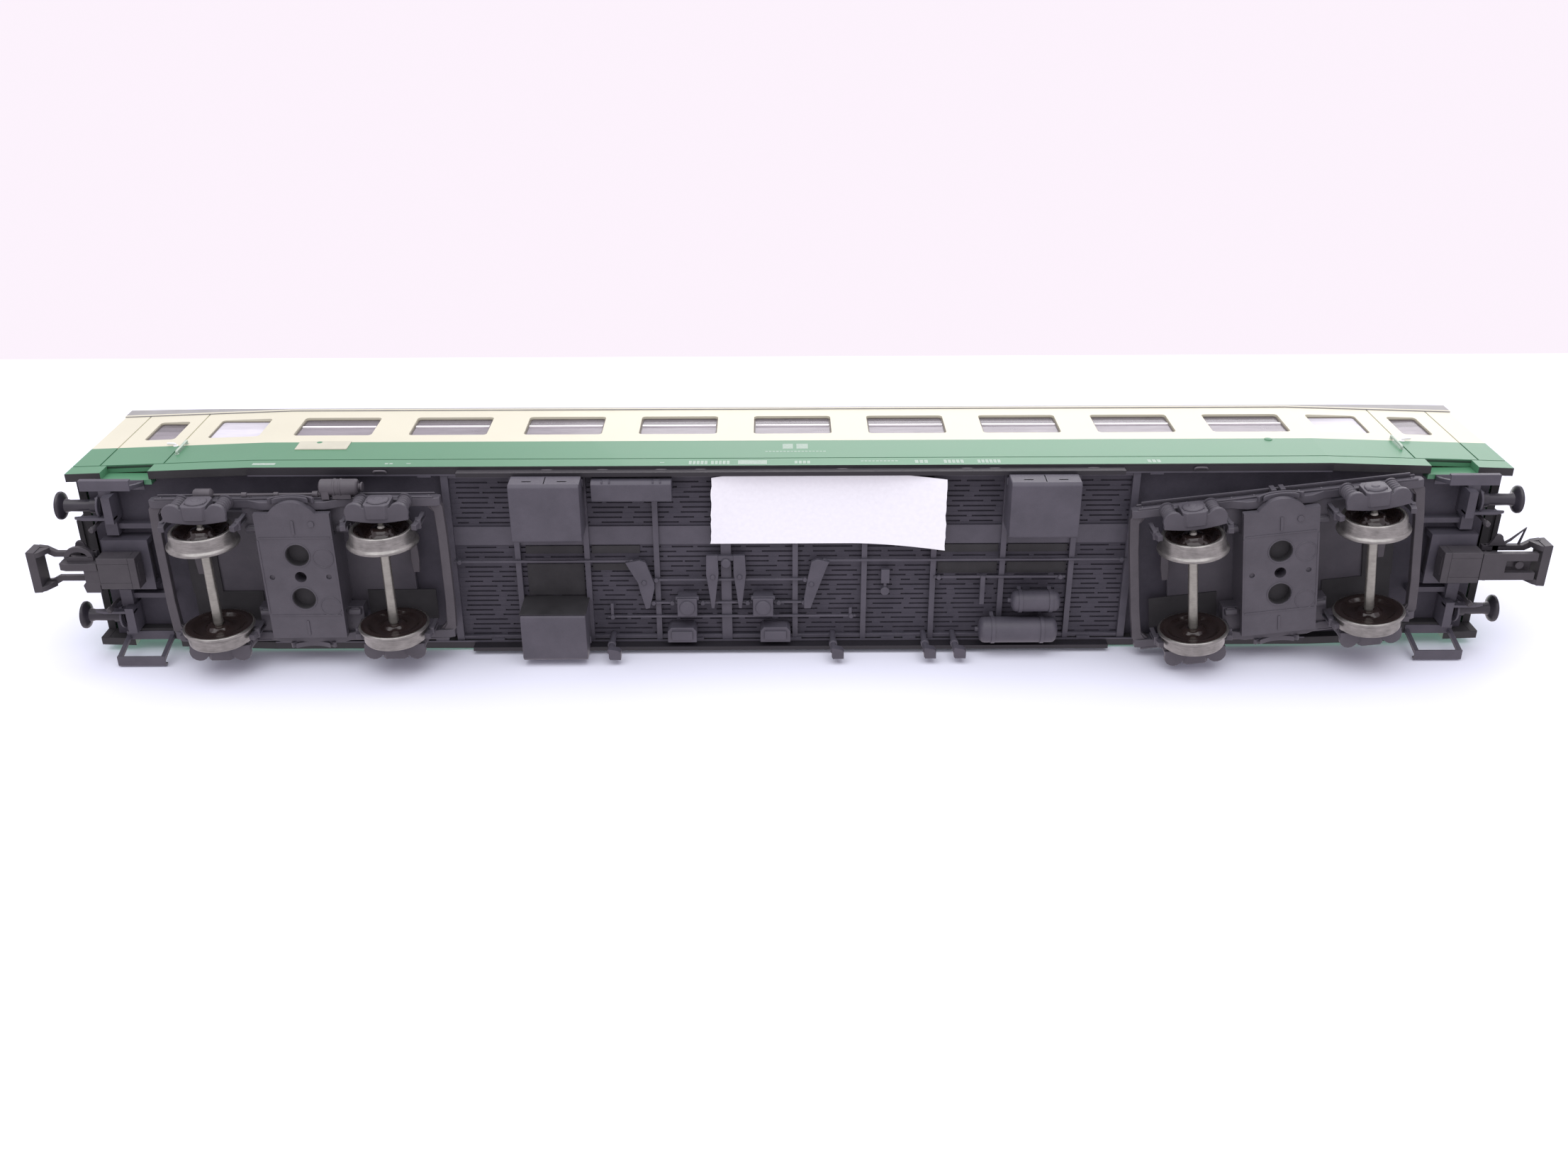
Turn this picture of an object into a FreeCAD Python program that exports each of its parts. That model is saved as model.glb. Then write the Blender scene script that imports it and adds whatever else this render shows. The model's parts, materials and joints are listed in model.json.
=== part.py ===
import FreeCAD, Part
import math
import os
import re

import Sketcher

# An H0 (1:87) scale four-axle passenger coach on two bogies.
# X runs along the coach, Z is up, and z = 0 is the level of the wheel flanges' lowest points.
# "near" is the -Y side and "far" the +Y side; "minus" and "plus" are the -X and +X ends.

DIMENSIONS = {
    # coach body
    "body_half": 117.6,
    "side": 16.7,
    "end_inset": 1.05,
    "taper_start": 88.0,
    "wall": 1.2,
    "skirt_bottom": 12.9,
    "panel_bottom": 15.95,
    "seam_width": 0.25,
    "seam_depth": 0.2,
    "gutter": 39.4,
    "gutter_lip": 0.15,
    "roof_top": 47.2,
    "roof_shell": 1.0,
    # windows
    "sill": 27.3,
    "window_height": 8.6,
    "window_width": 13.3,
    "window_pitch": 19.6,
    "window_shift": 0.45,
    "toilet_width": 8.8,
    "toilet_centre": 94.8,
    "door_glass_width": 5.2,
    "door_glass_centre": 107.4,
    "corner_round": 0.7,
    "glass_gap": 0.05,
    "glass_recess": 0.5,
    "strip_depth": 0.6,
    "bar_height": 32.1,
    "bar_width": 0.5,
    # doors and steps
    "door_inner": 102.6,
    "door_outer": 113.1,
    "sill_cut_inner": 104.1,
    "sill_cut_outer": 111.9,
    "step_inner": 105.4,
    "step_outer": 113.4,
    "step_level": 8.2,
    "step_plate": 0.3,
    "step_strap": 0.5,
    "rail_place": 101.8,
    "rail_bottom": 19.9,
    "rail_height": 5.2,
    "rail_round": 0.2,
    "rail_standoff": 0.55,
    # ends
    "gangway_half": 4.3,
    "gangway_height": 19.6,
    "bellows_half": 5.9,
    # underframe
    "floor_level": 13.9,
    "deck_level": 14.6,
    "deck_top": 15.6,
    "floor_half": 57.0,
    "groove_pitch": 0.9,
    "groove_width": 0.3,
    "groove_depth": 0.3,
    "beam_depth": 0.9,
    "beam_width": 0.9,
    "beam_pitch": 11.55,
    "beam_offset": 0.7,
    "box_bottom": 6.7,
    "box_shoulder": 10.8,
    "rod_thick": 0.4,
    "rigging_thick": 0.7,
    # buffers
    "buffer_height": 13.1,
    "buffer_half_spacing": 10.06,
    "buffer_face": 119.8,
    "buffer_head_round": 2.33,
    "buffer_head": 0.9,
    "buffer_shank_round": 1.05,
    "buffer_sleeve_round": 1.5,
    "beam_face": 112.6,
    "hose_place": 7.3,
    "hose_round": 0.32,
    # bogies
    "bogie_centre": 79.9,
    "half_wheelbase": 14.4,
    "bogie_plate": 6.6,
    "bogie_top": 13.6,
    "bolster_half": 6.1,
    "bolster_side": 6.8,
    "frame_line": 12.1,
    "frame_thick": 1.6,
    "frame_half": 23.9,
    "spring_reach": 2.95,
    "spring_seat": 4.0,
    "pivot_round": 2.4,
    "pivot_gap": 0.05,
    # wheelsets
    "flange_round": 5.75,
    "tread_round": 5.15,
    "half_back_to_back": 7.2,
    "flange_width": 0.8,
    "wheel_width": 2.8,
    "rim_depth": 0.75,
    "axle_round": 0.8,
    "journal_round": 0.5,
    "journal_gap": 0.05,
    "axle_half": 12.5,
    "axle_float": 0.8,
    # couplers
    "pocket_bottom": 8.0,
    "pocket_top": 10.9,
    "pocket_inner": 107.0,
    "pocket_outer": 113.3,
    "pocket_side": 2.75,
    "pin_place": 108.6,
    "pin_round": 1.0,
    "pin_gap": 0.05,
    "draw_travel": 2.0,
    "loop_pivot": 114.9,
    "loop_level": 11.45,
    "loop_round": 0.3,
    "loop_gap": 0.05,
    "coupler_front": 124.8,
}

BOGIE_YAW = {"minus": -0.3, "plus": -6.6}
ENDS = {"minus": -1, "plus": 1}
SIDES = {"near": -1, "far": 1}

doc = FreeCAD.newDocument("passenger_coach")
sheet = doc.addObject("Spreadsheet::Sheet", "dims")
for row, (alias, number) in enumerate(DIMENSIONS.items(), start=1):
    sheet.set(f"A{row}", alias)
    sheet.set(f"B{row}", str(number))
    sheet.setAlias(f"B{row}", alias)
doc.recompute()

ALIAS = re.compile(r"\b(" + "|".join(DIMENSIONS) + r")\b")
X_AXIS = FreeCAD.Vector(1, 0, 0)
Y_AXIS = FreeCAD.Vector(0, 1, 0)
Z_AXIS = FreeCAD.Vector(0, 0, 1)
ORIGIN = FreeCAD.Vector(0, 0, 0)
TURN = {
    "x": FreeCAD.Rotation(Y_AXIS, 90),
    "y": FreeCAD.Rotation(X_AXIS, -90),
    "z": FreeCAD.Rotation(Z_AXIS, 0),
}
SUBPARTS = []


def size_of(alias):
    """Give one driving dimension from the sheet, as a number."""
    return float(sheet.get(alias))


def bind(item, name, text):
    """Bind a property to a formula of the sheet's words."""
    item.setExpression(name, ALIAS.sub(r"dims.\1", str(text)))


def put_at(item, x, y, z):
    """Bind an item's place to three formulas."""
    for axis, text in zip("xyz", (x, y, z)):
        bind(item, f"Placement.Base.{axis}", text)


def block(name, size, base):
    """Make a box from its size and the centre of its bottom face."""
    item = doc.addObject("Part::Box", name)
    for label, text in zip(("Length", "Width", "Height"), size):
        bind(item, label, text)
    put_at(item, f"({base[0]}) - ({size[0]}) / 2", f"({base[1]}) - ({size[1]}) / 2", base[2])
    return item


def rounded_block(name, size, base, radius, axis):
    """Make a box whose four edges along one axis are rounded."""
    raw = block(name + "_raw", size, base)
    doc.recompute()
    item = doc.addObject("Part::Fillet", name)
    item.Base = raw
    edges = []
    for number, edge in enumerate(raw.Shape.Edges, start=1):
        run = edge.Vertexes[1].Point - edge.Vertexes[0].Point
        if abs(run.normalize().dot(axis)) > 0.9:
            edges.append((number, size_of(radius), size_of(radius)))
    item.Edges = edges
    return item


def rod(name, radius, length, start, axis):
    """Make a round bar that starts at a point and runs along +x, +y or +z."""
    item = doc.addObject("Part::Cylinder", name)
    item.Placement = FreeCAD.Placement(ORIGIN, TURN[axis])
    bind(item, "Radius", radius)
    bind(item, "Height", length)
    put_at(item, *start)
    return item


def taper(name, radii, length, start, axis):
    """Make a cone or a truncated cone that starts at a point and runs along +x, +y or +z."""
    item = doc.addObject("Part::Cone", name)
    item.Placement = FreeCAD.Placement(ORIGIN, TURN[axis])
    bind(item, "Radius1", radii[0])
    bind(item, "Radius2", radii[1])
    bind(item, "Height", length)
    put_at(item, *start)
    return item


def fuse(name, items):
    """Join items into one solid."""
    item = doc.addObject("Part::MultiFuse", name)
    item.Shapes = items
    return item


def cut(name, base, tools):
    """Take one or more tools away from a base."""
    item = doc.addObject("Part::Cut", name)
    item.Base = base
    item.Tool = tools[0] if len(tools) == 1 else group(name + "_tools", tools)
    return item


def group(name, items):
    """Hold separate solids together as one sub-part."""
    item = doc.addObject("Part::Compound", name)
    item.Links = items
    return item


def add_outline(sketch, points):
    """Add a closed outline whose corners are bound to pairs of formulas."""
    first = len(sketch.Geometry)
    count = len(points)
    angles = [2 * math.pi * number / count for number in range(count)]
    rough = [FreeCAD.Vector(math.cos(angle), math.sin(angle), 0) for angle in angles]
    for number in range(count):
        sketch.addGeometry(Part.LineSegment(rough[number], rough[(number + 1) % count]))
    for number in range(count):
        this = first + number
        after = first + (number + 1) % count
        sketch.addConstraint(Sketcher.Constraint("Coincident", this, 2, after, 1))
        for kind, place, text in zip(("DistanceX", "DistanceY"), rough[number], points[number]):
            index = sketch.addConstraint(Sketcher.Constraint(kind, -1, 1, this, 1, place))
            sketch.renameConstraint(index, f"{kind}_{this}")
            bind(sketch, f"Constraints.{kind}_{this}", text)


def new_sketch(body, name, role, offset, outlines):
    """Make a sketch of closed outlines on one of a body's own origin planes."""
    plane = [feature for feature in body.Origin.OriginFeatures if feature.Role == role][0]
    sketch = body.newObject("Sketcher::SketchObject", name)
    sketch.AttachmentSupport = (plane, [""])
    sketch.MapMode = "FlatFace"
    bind(sketch, "AttachmentOffset.Base.z", offset)
    for points in outlines:
        add_outline(sketch, points)
    return sketch


def pad(body, sketch, name, length):
    """Pad a sketch along its normal."""
    item = body.newObject("PartDesign::Pad", name)
    item.Profile = sketch
    bind(item, "Length", length)
    sketch.Visibility = False
    return item


def pocket(body, sketch, name, length):
    """Cut a sketch out of its body along the sketch's normal."""
    item = body.newObject("PartDesign::Pocket", name)
    item.Profile = sketch
    item.Reversed = True
    bind(item, "Length", length)
    sketch.Visibility = False
    return item


def prism(name, outline, start, length, role="XY_Plane"):
    """Make a body that is one outline padded along its plane's normal."""
    body = doc.addObject("PartDesign::Body", name)
    sketch = new_sketch(body, name + "_outline", role, start, [outline])
    pad(body, sketch, name + "_pad", length)
    return body


def coach_plan(back=0, end_back=0):
    """Give the coach's plan, narrower towards the ends, set back from sides and ends."""
    end_x = f"(body_half - ({end_back}))"
    end_y = f"(side - end_inset - ({back}))"
    mid_y = f"(side - ({back}))"
    quarter = [(end_x, end_y), ("taper_start", mid_y)]
    left_far = [(f"-({x})", y) for x, y in reversed(quarter)]
    left_near = [(f"-({x})", f"-({y})") for x, y in quarter]
    right_near = [(x, f"-({y})") for x, y in reversed(quarter)]
    return quarter + left_far + left_near + right_near


def wall_line(place):
    """Give the formula for the half width of the coach at a distance from its middle."""
    return f"(side - end_inset * (({place}) - taper_start) / (body_half - taper_start))"


def keep(node, item):
    """Register an item as a sub-part under its own name."""
    item.Label = node
    SUBPARTS.append(item)
    return item


def move(item, x, y, z, turn=0):
    """Give a finished sub-part its place, and its turn about the vertical."""
    item.Placement = FreeCAD.Placement(FreeCAD.Vector(x, y, z), FreeCAD.Rotation(Z_AXIS, turn))
    return item


# ---------------------------------------------------------------- coach body

def window_places():
    """List each opening of a side wall as a name, a centre and a width."""
    places = []
    for number in range(-4, 5):
        places.append((f"bay{number + 4}", f"{number} * window_pitch + window_shift", "window_width"))
    for end, sign in ENDS.items():
        places.append((f"toilet_{end}", f"{sign} * toilet_centre", "toilet_width"))
        places.append((f"door_{end}", f"{sign} * door_glass_centre", "door_glass_width"))
    return places


def make_body_shell():
    """The side and end walls in one moulding, open at the bottom and under the roof."""
    body = doc.addObject("PartDesign::Body", "wall_ring")
    height = "gutter - skirt_bottom"
    plan = new_sketch(body, "wall_plan", "XY_Plane", "skirt_bottom", [coach_plan()])
    pad(body, plan, "wall_pad", height)
    inside = new_sketch(body, "inside_plan", "XY_Plane", "skirt_bottom", [coach_plan("wall", "wall")])
    pocket(body, inside, "inside_pocket", height)
    ring = [coach_plan("-1", "-1"), coach_plan("seam_depth", "seam_depth")]
    seam = new_sketch(body, "seam_plan", "XY_Plane", "panel_bottom", ring)
    pocket(body, seam, "seam_pocket", "seam_width")

    tools = []
    for name, centre, width in window_places():
        size = (width, "2 * side + 2", "window_height")
        tools.append(rounded_block(f"hole_{name}", size, (centre, 0, "sill"), "corner_round", Y_AXIS))
    for end, sign in ENDS.items():
        low = ("2 * wall", "2 * (side - end_inset - wall)", "panel_bottom + 0.3 - skirt_bottom")
        tools.append(block(f"under_{end}", low, (f"{sign} * body_half", 0, "skirt_bottom")))
        gangway = ("4 * wall", "2 * gangway_half", "gangway_height")
        tools.append(block(f"gangway_{end}", gangway, (f"{sign} * body_half", 0, "panel_bottom")))
        cut_size = ("sill_cut_outer - sill_cut_inner", "2 * side + 2", "panel_bottom - skirt_bottom")
        cut_centre = f"{sign} * (sill_cut_outer + sill_cut_inner) / 2"
        tools.append(block(f"sill_cut_{end}", cut_size, (cut_centre, 0, "skirt_bottom")))
        for line in ("door_inner", "door_outer"):
            for side, hand in SIDES.items():
                size = ("seam_width", "2", "gutter - panel_bottom")
                y = f"{hand} * ({wall_line(line)} - seam_depth + 1)"
                tools.append(block(f"{line}_{end}_{side}", size, (f"{sign} * {line}", y, "panel_bottom")))
    keep("body_shell", cut("body_walls", body, tools))


def roof_profile(bottom, half, top):
    """Give the roof's arched outline in the YZ plane as a face: tight haunches, flat crown."""
    edge = size_of("gutter")
    haunch = 0.32 * half
    haunch_centre = half - haunch
    rise = top - edge
    crown = (haunch_centre ** 2 + rise ** 2 - haunch ** 2) / (2 * (rise - haunch))
    crown_z = top - crown
    reach = crown / (crown - haunch)
    join_y = haunch_centre * reach
    join_z = crown_z + (edge - crown_z) * reach
    lean = math.atan2(join_z - edge, join_y - haunch_centre) / 2
    mid_y = haunch_centre + haunch * math.cos(lean)
    mid_z = edge + haunch * math.sin(lean)

    def at(y, z):
        return FreeCAD.Vector(0, y, z)

    edges = [
        Part.makeLine(at(-half, edge), at(-half, bottom)),
        Part.makeLine(at(-half, bottom), at(half, bottom)),
        Part.makeLine(at(half, bottom), at(half, edge)),
        Part.Arc(at(half, edge), at(mid_y, mid_z), at(join_y, join_z)).toShape(),
        Part.Arc(at(join_y, join_z), at(0, top), at(-join_y, join_z)).toShape(),
        Part.Arc(at(-join_y, join_z), at(-mid_y, mid_z), at(-half, edge)).toShape(),
    ]
    return Part.Face(Part.Wire(edges))


def plan_solid(out, bottom, height):
    """Give the coach's plan as a solid, set out beyond the walls."""
    end_x = size_of("body_half") + out
    end_y = size_of("side") - size_of("end_inset") + out
    mid_x = size_of("taper_start")
    mid_y = size_of("side") + out
    quarter = [(end_x, end_y), (mid_x, mid_y), (-mid_x, mid_y), (-end_x, end_y)]
    corners = quarter + [(-x, -y) for x, y in quarter]
    points = [FreeCAD.Vector(x, y, bottom) for x, y in corners]
    return Part.Face(Part.makePolygon(points + points[:1])).extrude(FreeCAD.Vector(0, 0, height))


def make_roof():
    """The arched roof shell with closed ends, a gutter lip and a locating rib inside the walls."""
    lip = size_of("gutter_lip")
    shell = size_of("roof_shell")
    half = size_of("side") + lip
    full = size_of("body_half") + lip
    gutter = size_of("gutter")
    top = size_of("roof_top")
    along = FreeCAD.Vector(2 * full, 0, 0)
    outer = roof_profile(gutter - shell, half, top)
    outer.translate(FreeCAD.Vector(-full, 0, 0))
    inner_along = FreeCAD.Vector(2 * (full - 2 * shell), 0, 0)
    inner = roof_profile(gutter - shell, half - 2.6 * shell, top - shell)
    inner.translate(FreeCAD.Vector(-(full - 2 * shell), 0, 0))
    shape = outer.extrude(along).common(plan_solid(lip, gutter, top - gutter))
    shape = shape.cut(inner.extrude(inner_along))
    roof = doc.addObject("Part::Feature", "roof_shape")
    roof.Shape = shape
    keep("roof", roof)


def make_roof_vents():
    """Six low static ventilators on the crown of the roof."""
    vents = []
    for number in range(6):
        x = f"{number - 2.5} * 1.5 * window_pitch"
        vents.append(rounded_block(f"vent{number}", ("4.2", "2.6", "0.9"), (x, 0, "roof_top + 0.02"),
                                   "corner_round", Z_AXIS))
    keep("roof_vents", group("vents", vents))


def make_glazing():
    """Clear strips behind the side walls with a raised pane in each wide window."""
    for side, sign in SIDES.items():
        inner_face = "side - wall - glass_gap"
        pieces = [block(f"strip_{side}",
                        ("8 * window_pitch + window_width + 3", "strip_depth", "window_height + 3"),
                        (0, f"{sign} * ({inner_face} - strip_depth / 2)", "sill - 1.5"))]
        depth = "wall + glass_gap - glass_recess"
        for number in range(-4, 5):
            size = ("window_width - 2 * glass_gap", depth, "window_height - 2 * glass_gap")
            base = (f"{number} * window_pitch + window_shift", f"{sign} * ({inner_face} + ({depth}) / 2)",
                    "sill + glass_gap")
            pieces.append(rounded_block(f"pane_{side}{number + 4}", size, base, "corner_round", Y_AXIS))
        keep(f"glazing_{side}", fuse(f"clear_{side}", pieces))


def make_end_panes():
    """Frosted lavatory panes and clear door panes, set into the walls at both ends."""
    for node, centre, width in (("lavatory_panes", "toilet_centre", "toilet_width"),
                                ("door_panes", "door_glass_centre", "door_glass_width")):
        panes = []
        for end, sign in ENDS.items():
            for side, hand in SIDES.items():
                face = f"({wall_line(centre)} - glass_recess)"
                size = (f"{width} - 2 * glass_gap", "0.8", "window_height - 2 * glass_gap")
                base = (f"{sign} * {centre}", f"{hand} * ({face} - 0.4)", "sill + glass_gap")
                panes.append(rounded_block(f"{node}_{end}_{side}", size, base, "corner_round", Y_AXIS))
        keep(node, group(node + "_set", panes))


def make_window_bars():
    """The bright drop-light bars across the wide panes."""
    bars = []
    for side, sign in SIDES.items():
        for number in range(-4, 5):
            size = ("window_width - 0.6", "0.2", "bar_width")
            base = (f"{number} * window_pitch + window_shift", f"{sign} * (side - glass_recess + 0.1)",
                    "bar_height")
            bars.append(block(f"bar_{side}{number + 4}", size, base))
    keep("window_bars", group("bars", bars))


def make_door_fittings():
    """Handrails and lever handles beside the four doors."""
    rails = []
    for end, sign in ENDS.items():
        for side, hand in SIDES.items():
            x = f"{sign} * rail_place"
            wall_y = wall_line("rail_place")
            line = f"{hand} * ({wall_y} + rail_standoff)"
            pieces = [rod(f"rail_{end}_{side}", "rail_round", "rail_height", (x, line, "rail_bottom"), "z")]
            start = f"{hand} * {wall_y} - {0 if hand > 0 else 1} * rail_standoff"
            for number, level in enumerate(("rail_bottom + 0.4", "rail_bottom + rail_height - 0.4")):
                pieces.append(rod(f"stub{number}_{end}_{side}", "rail_round * 0.8", "rail_standoff",
                                  (x, start, level), "y"))
            rails.append(fuse(f"handrail_{end}_{side}", pieces))
            handle = "(door_inner + 1.3)"
            size = ("1.5", "0.35", "0.4")
            place = (f"{sign} * {handle}", f"{hand} * ({wall_line(handle)} + 0.21)", "sill - 2.8")
            rails.append(block(f"handle_{end}_{side}", size, place))
    keep("handrails_and_handles", group("rails", rails))


def make_gangways():
    """Folded gangway bellows around the end openings, and the flush doors inside them."""
    bellows = []
    doors = []
    for end, sign in ENDS.items():
        rings = []
        for fold, (reach, grow) in enumerate(((0.25, 0), (0.75, 0.35), (1.25, 0))):
            size = ("0.5", f"2 * (bellows_half + {grow})", f"gangway_height + 2.6 + 2 * {grow}")
            base = (f"{sign} * (body_half + {reach})", 0, f"panel_bottom + 0.4 - {grow}")
            rings.append(block(f"fold{fold}_{end}", size, base))
        hole = block(f"bellows_hole_{end}", ("4", "2 * gangway_half", "gangway_height - 1"),
                     (f"{sign} * (body_half + 1)", 0, "panel_bottom + 1"))
        bellows.append(cut(f"bellows_{end}", fuse(f"folds_{end}", rings), [hole]))
        door = block(f"leaf_{end}", ("0.6", "2 * gangway_half", "gangway_height - 0.3"),
                     (f"{sign} * (body_half - 0.6)", 0, "panel_bottom + 0.3"))
        doors.append(door)
    keep("gangway_bellows", group("bellows_pair", bellows))
    keep("end_doors", group("end_door_pair", doors))


def make_interior():
    """Floor, seats and partitions in one moulding, seen through the windows."""
    top = "deck_top + 2"
    pieces = [block("interior_floor", ("2 * (body_half - 6)", "2 * (side - 3.2)", "1"),
                    (0, 0, "deck_top + 1"))]
    for number in range(8):
        x = f"{number - 3.5} * window_pitch"
        for side, sign in SIDES.items():
            y = f"{sign} * 8.4"
            pieces.append(block(f"seat{number}_{side}", ("9", "9.2", "3.4"), (x, y, top)))
            pieces.append(block(f"back{number}_{side}", ("2.2", "9.2", "9"), (x, y, top)))
    for number, x in enumerate(("toilet_centre - 6", "toilet_centre + 6.5")):
        for end, sign in ENDS.items():
            for side, hand in SIDES.items():
                pieces.append(block(f"partition{number}_{end}_{side}", ("0.8", "9.6", "20"),
                                    (f"{sign} * ({x})", f"{hand} * 8.2", top)))
    keep("interior", fuse("interior_moulding", pieces))
    keep("ballast_plate", block("ballast", ("92", "22", "0.9"), (0, 0, "deck_top + 0.05")))


# ---------------------------------------------------------------- underframe

def make_underframe():
    """The deck with its grooved floor, cross ribs, long band, clips and side sills."""
    deck = prism("deck", coach_plan("wall + 0.1", "wall + 1.2"), "deck_level", "deck_top - deck_level")
    side_room = "2 * (side - wall - 0.25)"
    floor = block("floor_slab", ("2 * floor_half", side_room, "deck_level - floor_level"),
                  (0, 0, "floor_level"))
    grooves = []
    for number in range(-16, 17):
        size = ("2 * floor_half - 2", "groove_width", "groove_depth")
        grooves.append(block(f"groove{number + 16}", size, (0, f"{number} * groove_pitch", "floor_level")))
    pieces = [deck, cut("grooved_floor", floor, grooves)]
    for number in range(-4, 5):
        wide = "1.7" if number == -1 else "beam_width"
        x = f"beam_offset + {number} * beam_pitch"
        pieces.append(block(f"rib{number + 4}", (wide, side_room, "beam_depth"),
                            (x, 0, "floor_level - beam_depth")))
    for end, sign in ENDS.items():
        x = f"{sign} * (floor_half - 0.6)"
        pieces.append(block(f"end_rib_{end}", ("1.2", side_room, "beam_depth"),
                            (x, 0, "floor_level - beam_depth")))
        ring = rod(f"pivot_ring_{end}", "4.2", "deck_level - bogie_top - 0.1",
                   (f"{sign} * bogie_centre", 0, "bogie_top + 0.1"), "z")
        pieces.append(ring)
    pieces.append(block("long_band", ("2 * floor_half", "3.3", "0.35"), (0, "-4.05", "floor_level - 0.35")))
    for number, x in enumerate((-59.5, -50, -16, 0.7, 16.5, 20.2, 50, 59.5)):
        for side, sign in SIDES.items():
            size = ("2.2", "0.5", "deck_level - skirt_bottom + 0.2")
            pieces.append(block(f"clip{number}_{side}", size,
                                (x, f"{sign} * (side - wall - 0.35)", "skirt_bottom - 0.2")))
    for side, sign in SIDES.items():
        pieces.append(block(f"rim_{side}", ("2 * taper_start", "1.2", "0.23"),
                            (0, f"{sign} * (side - 0.9)", "skirt_bottom - 0.25")))
        pieces.append(block(f"low_sill_{side}", ("2 * (floor_half - 3)", "0.7", "1.93"),
                            (0, f"{sign} * (side - 0.75)", "skirt_bottom - 1.95")))
    notches = []
    for end, sign in ENDS.items():
        for side, hand in SIDES.items():
            x = f"{sign} * (sill_cut_outer + sill_cut_inner) / 2"
            y = f"{hand} * ({wall_line('sill_cut_outer')} - wall + 0.55)"
            size = ("sill_cut_outer - sill_cut_inner + 0.8", "3", "deck_top - deck_level + 2")
            notches.append(block(f"notch_{end}_{side}", size, (x, y, "deck_level - 1")))
    keep("underframe", cut("underframe_moulding", fuse("underframe_whole", pieces), notches))


def make_equipment():
    """Battery and equipment boxes, air tanks, brake cylinders and drain valves under the floor."""
    def hung(name, x, y, bottom, top="floor_level - beam_depth"):
        size = (f"{x[1]} - ({x[0]})", f"{y[1]} - ({y[0]})", f"{top} - ({bottom})")
        centre = (f"({x[0]} + {x[1]}) / 2", f"({y[0]} + {y[1]}) / 2", bottom)
        return block(name, size, centre)

    for node, x, inner in (("battery_box_minus", (-45.1, -33.8), -5.8),
                           ("battery_box_plus", (35.1, 46.3), -6.2),
                           ("equipment_box_far", (-44.9, -34.1), 7.4)):
        hand = 1 if inner > 0 else -1
        face = 15.9 * hand
        neck = 15.15 * hand
        outline = [(inner, "floor_level - beam_depth"), (inner, "box_bottom"), (face, "box_bottom"),
                   (face, "box_shoulder"), (neck, "box_shoulder"), (neck, "floor_level - beam_depth")]
        case = prism(node + "_case", outline, x[0], x[1] - x[0], "YZ_Plane")
        lid = hung(node + "_lid", (x[0] - 0.2, x[1] + 0.2),
                   sorted((neck - 0.05 * hand, inner - 0.15 * hand)),
                   "box_shoulder + 0.5", "box_shoulder + 0.9")
        keep(node, fuse(node + "_box", [case, lid]))

    fuse_box = hung("fuse_case", (-32.3, -19.3), (-15.15, -12.9), "9.7")
    feet = [hung(f"fuse_foot{number}", (x, x + 1.2), (-12.9, -12.2), "10.4") for number,
            x in enumerate((-30.5, -22))]
    keep("fuse_box", fuse("fuse_box_case", [fuse_box] + feet))

    tanks = []
    for name, start, length, y, z, radius in (("small", 36.9, 8.2, 7.2, 11.0, 1.8),
                                              ("large", 31.6, 13.3, 12.4, 10.6, 2.2)):
        straps = [rod(f"{name}_strap{number}", radius + 0.15, 0.5, (start + length * share, y, z), "x")
                  for number, share in enumerate((0.2, 0.75))]
        drum = rod(f"{name}_drum", radius, length, (start, y, z), "x")
        hanger = block(f"{name}_hanger", (length * 0.5, 1.2, f"floor_level - beam_depth - {z}"),
                       (start + length / 2, y, z))
        tanks.append(fuse(f"{name}_tank", [drum, hanger] + straps))
    keep("air_tanks", group("tank_pair", tanks))

    blocks = []
    for number, (x, y, z) in enumerate((((-19.1, -15.8), (6.5, 9.8), 10.4),
                                        ((-6.4, -3.0), (6.5, 9.8), 10.4),
                                        ((-20.9, -16.0), (12.0, 14.8), 10.9),
                                        ((-5.2, -0.1), (12.0, 14.8), 10.9))):
        body = hung(f"cylinder{number}", x, y, z, "floor_level")
        cap = hung(f"cylinder_cap{number}", (x[0] + 0.5, x[1] - 0.5), (y[0] + 0.5, y[1] - 0.5), z - 0.4, z)
        blocks.append(fuse(f"brake_cylinder{number}", [body, cap]))
    for number, x in enumerate((-29.6, 7.8, 23.3, 28.3)):
        stem = rod(f"valve_stem{number}", 0.6, "floor_level - 7.4", (x - 0.7, 14.5, 7.4), "z")
        bulb = block(f"valve_bulb{number}", ("2", "2", "1.5"), (x, 14.95, 6.9))
        blocks.append(fuse(f"drain_valve{number}", [stem, bulb]))
    keep("brake_cylinders_and_valves", group("fittings", blocks))


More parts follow.
